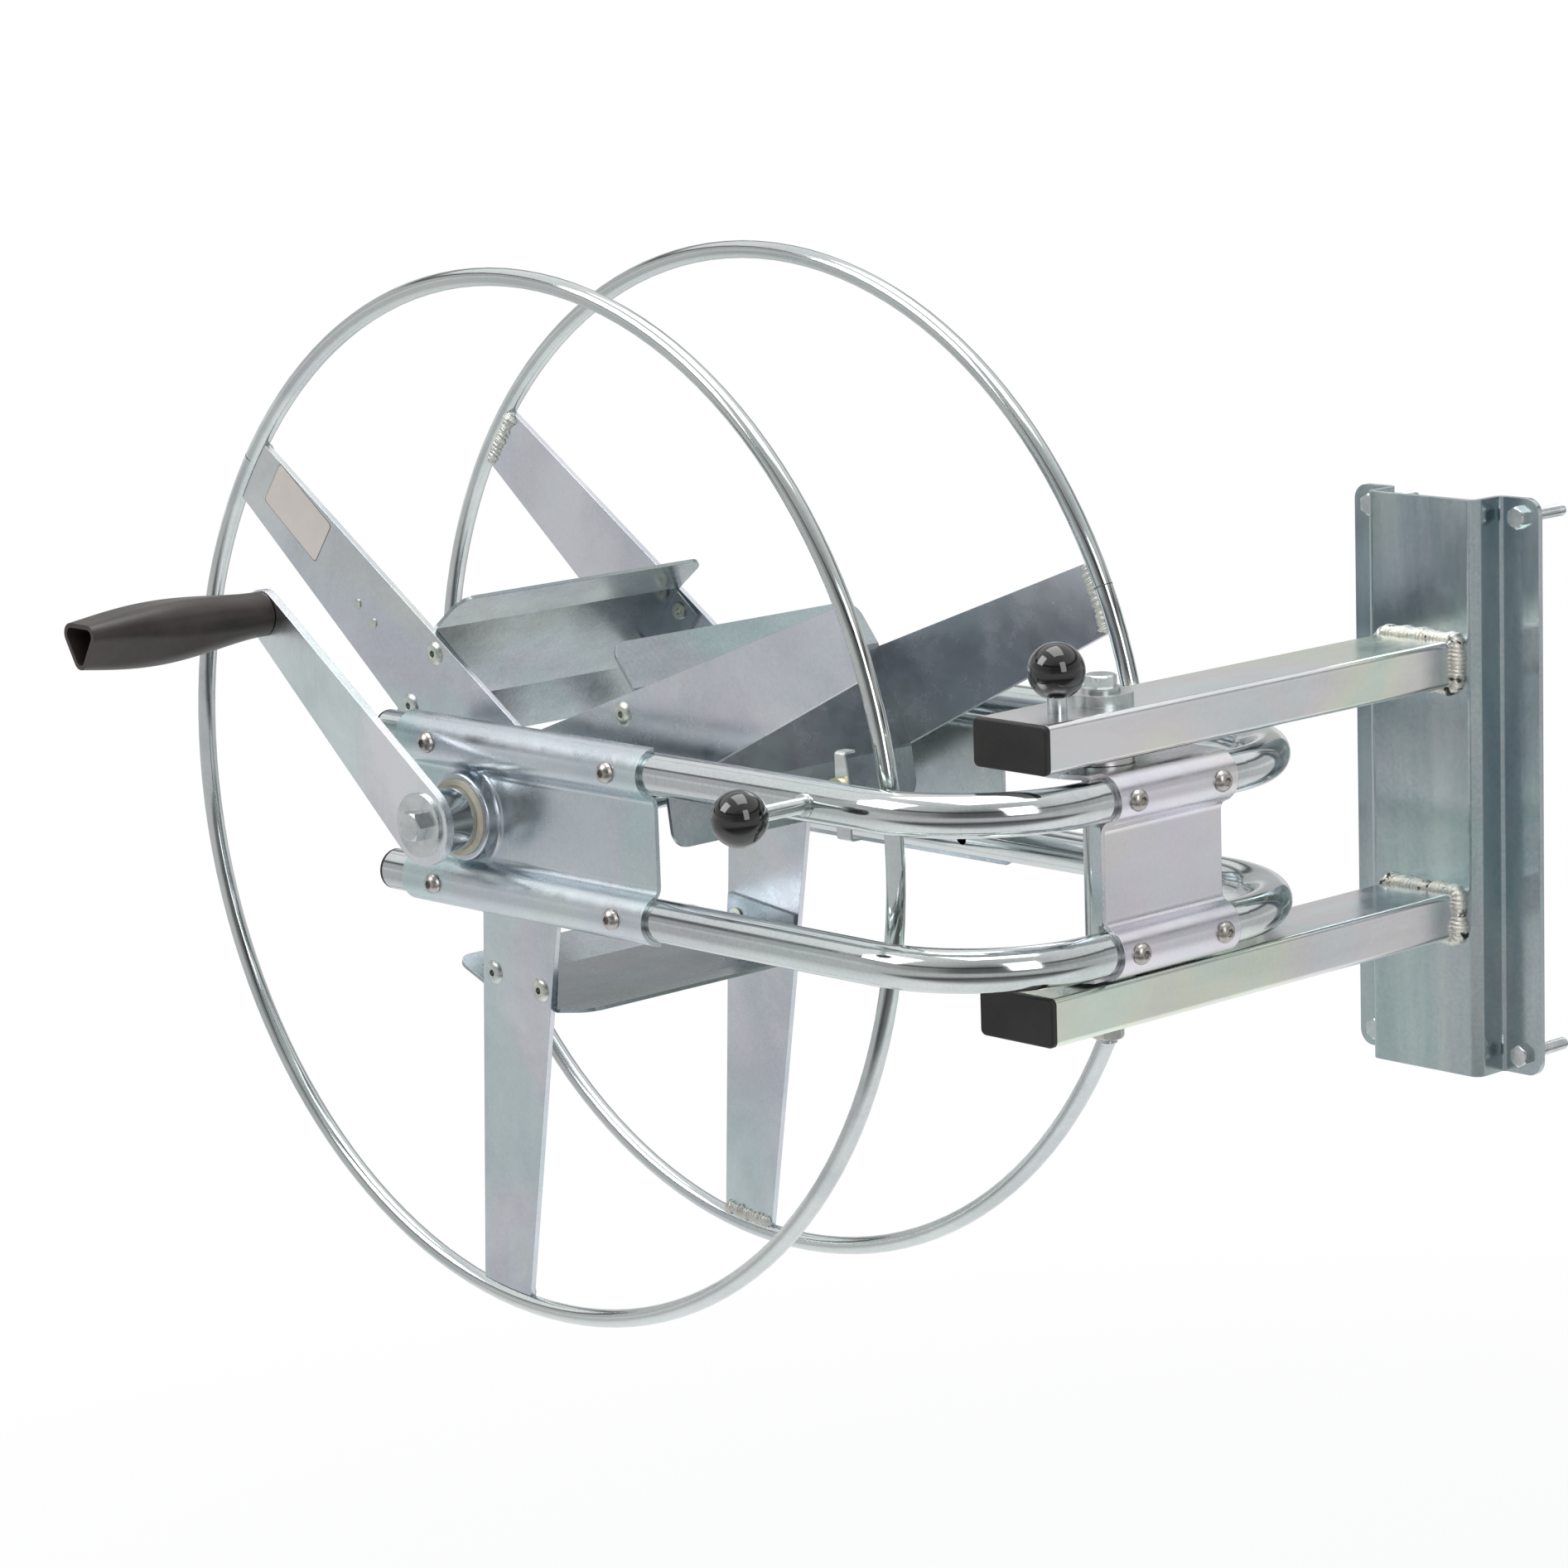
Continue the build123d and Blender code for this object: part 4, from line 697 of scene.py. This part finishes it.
def label_sheet(name, inset, depth, finish):
    """Thin slab of a rounded rectangle: its outline at two depths, then drawn in a little for a soft upper edge."""
    loop, normal = rounded_loop(
        label_span[1] - label_span[0] - 2 * inset, label_across[1] - label_across[0] - 2 * inset, 0.0022, 96)
    levels = np.array([0.0, depth * 0.7, depth])[:, None]
    shrink = np.array([0.0, 0.0, 0.00008])[:, None]
    along = (label_span[0] + label_span[1]) / 2 + loop[None, :, 0] - shrink * normal[None, :, 0]
    across = (label_across[0] + label_across[1]) / 2 + loop[None, :, 2] - shrink * normal[None, :, 2]
    face_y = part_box("near_spider")[0].y
    angle = np.full(along.shape, label_angle)
    skin(name, [about_hub(angle, along, face_y + 0.00005 - levels, across)], finish, "reel")


label_vinyl = plastic_finish(
    "bush_plastic_label", (0.53, 0.485, 0.45), (0.58, 0.535, 0.50), 0.38, 700.0, 0.00002, mottle=24.0, sheen=0.5)
label_edge = plastic_finish(
    "bush_plastic_label_edge", (0.07, 0.065, 0.06), (0.10, 0.09, 0.085), 0.5, 700.0, 0.00002)
label_sheet("label_edge", 0.0, 0.00020, label_edge)
label_sheet("label_face", 0.0004, 0.00028, label_vinyl)

# Crank arm and grip
# Flat bar crank, plated and scuffed by handling, and a three-sided swelling grip of brown black moulded plastic.
crank_zinc = zinc_finish(
    "zinc_sheet_crank", (0.72, 0.77, 0.79), (0.88, 0.91, 0.93), cool_film, 0.26, 0.00004, cloud=16.0,
    tint_amount=0.8, scuffs=0.40,
)
dress(crank_zinc, "crank_arm")
dress(bolt_zinc, "crank_bolt", "crank_washer", "grip_pin", "grip_retaining_washer")
grip_plastic = plastic_finish(
    "grip_plastic", (0.020, 0.015, 0.013), (0.042, 0.033, 0.029), 0.33, 800.0, 0.00005, mottle=22.0, sheen=0.55)
dress(grip_plastic, "crank_grip")

# Locks
# Ball knobs of polished black thermoset on plated pins, a turned yellow passivated guide, and a small spring
# steel catch that closes round a spoke.
knob_plastic = plastic_finish(
    "knob_plastic", (0.006, 0.006, 0.006), (0.012, 0.012, 0.012), 0.055, 300.0, 0.000004, mottle=40.0, sheen=0.6)
knob_plastic.node_tree.nodes["Principled BSDF"].inputs["Coat Weight"].default_value = 0.5
knob_plastic.node_tree.nodes["Principled BSDF"].inputs["Coat Roughness"].default_value = 0.03
dress(knob_plastic, "reel_lock_knob", "swivel_lock_knob")
yellow_film = (
    (0.30, (1.0, 0.90, 0.62)),
    (0.50, (0.97, 0.95, 0.78)),
    (0.66, (1.0, 0.86, 0.70)),
)
yellow_zinc = zinc_finish(
    "yellow_zinc", (0.58, 0.56, 0.50), (0.76, 0.73, 0.64), yellow_film, 0.26, 0.00002, cloud=70.0, tint_amount=0.9)
dress(yellow_zinc, "reel_lock_guide")
dress(bolt_zinc, "reel_lock_pin", "swivel_lock_pin", "reel_lock_collar")
dress(spoke_zinc, "reel_lock_catch")
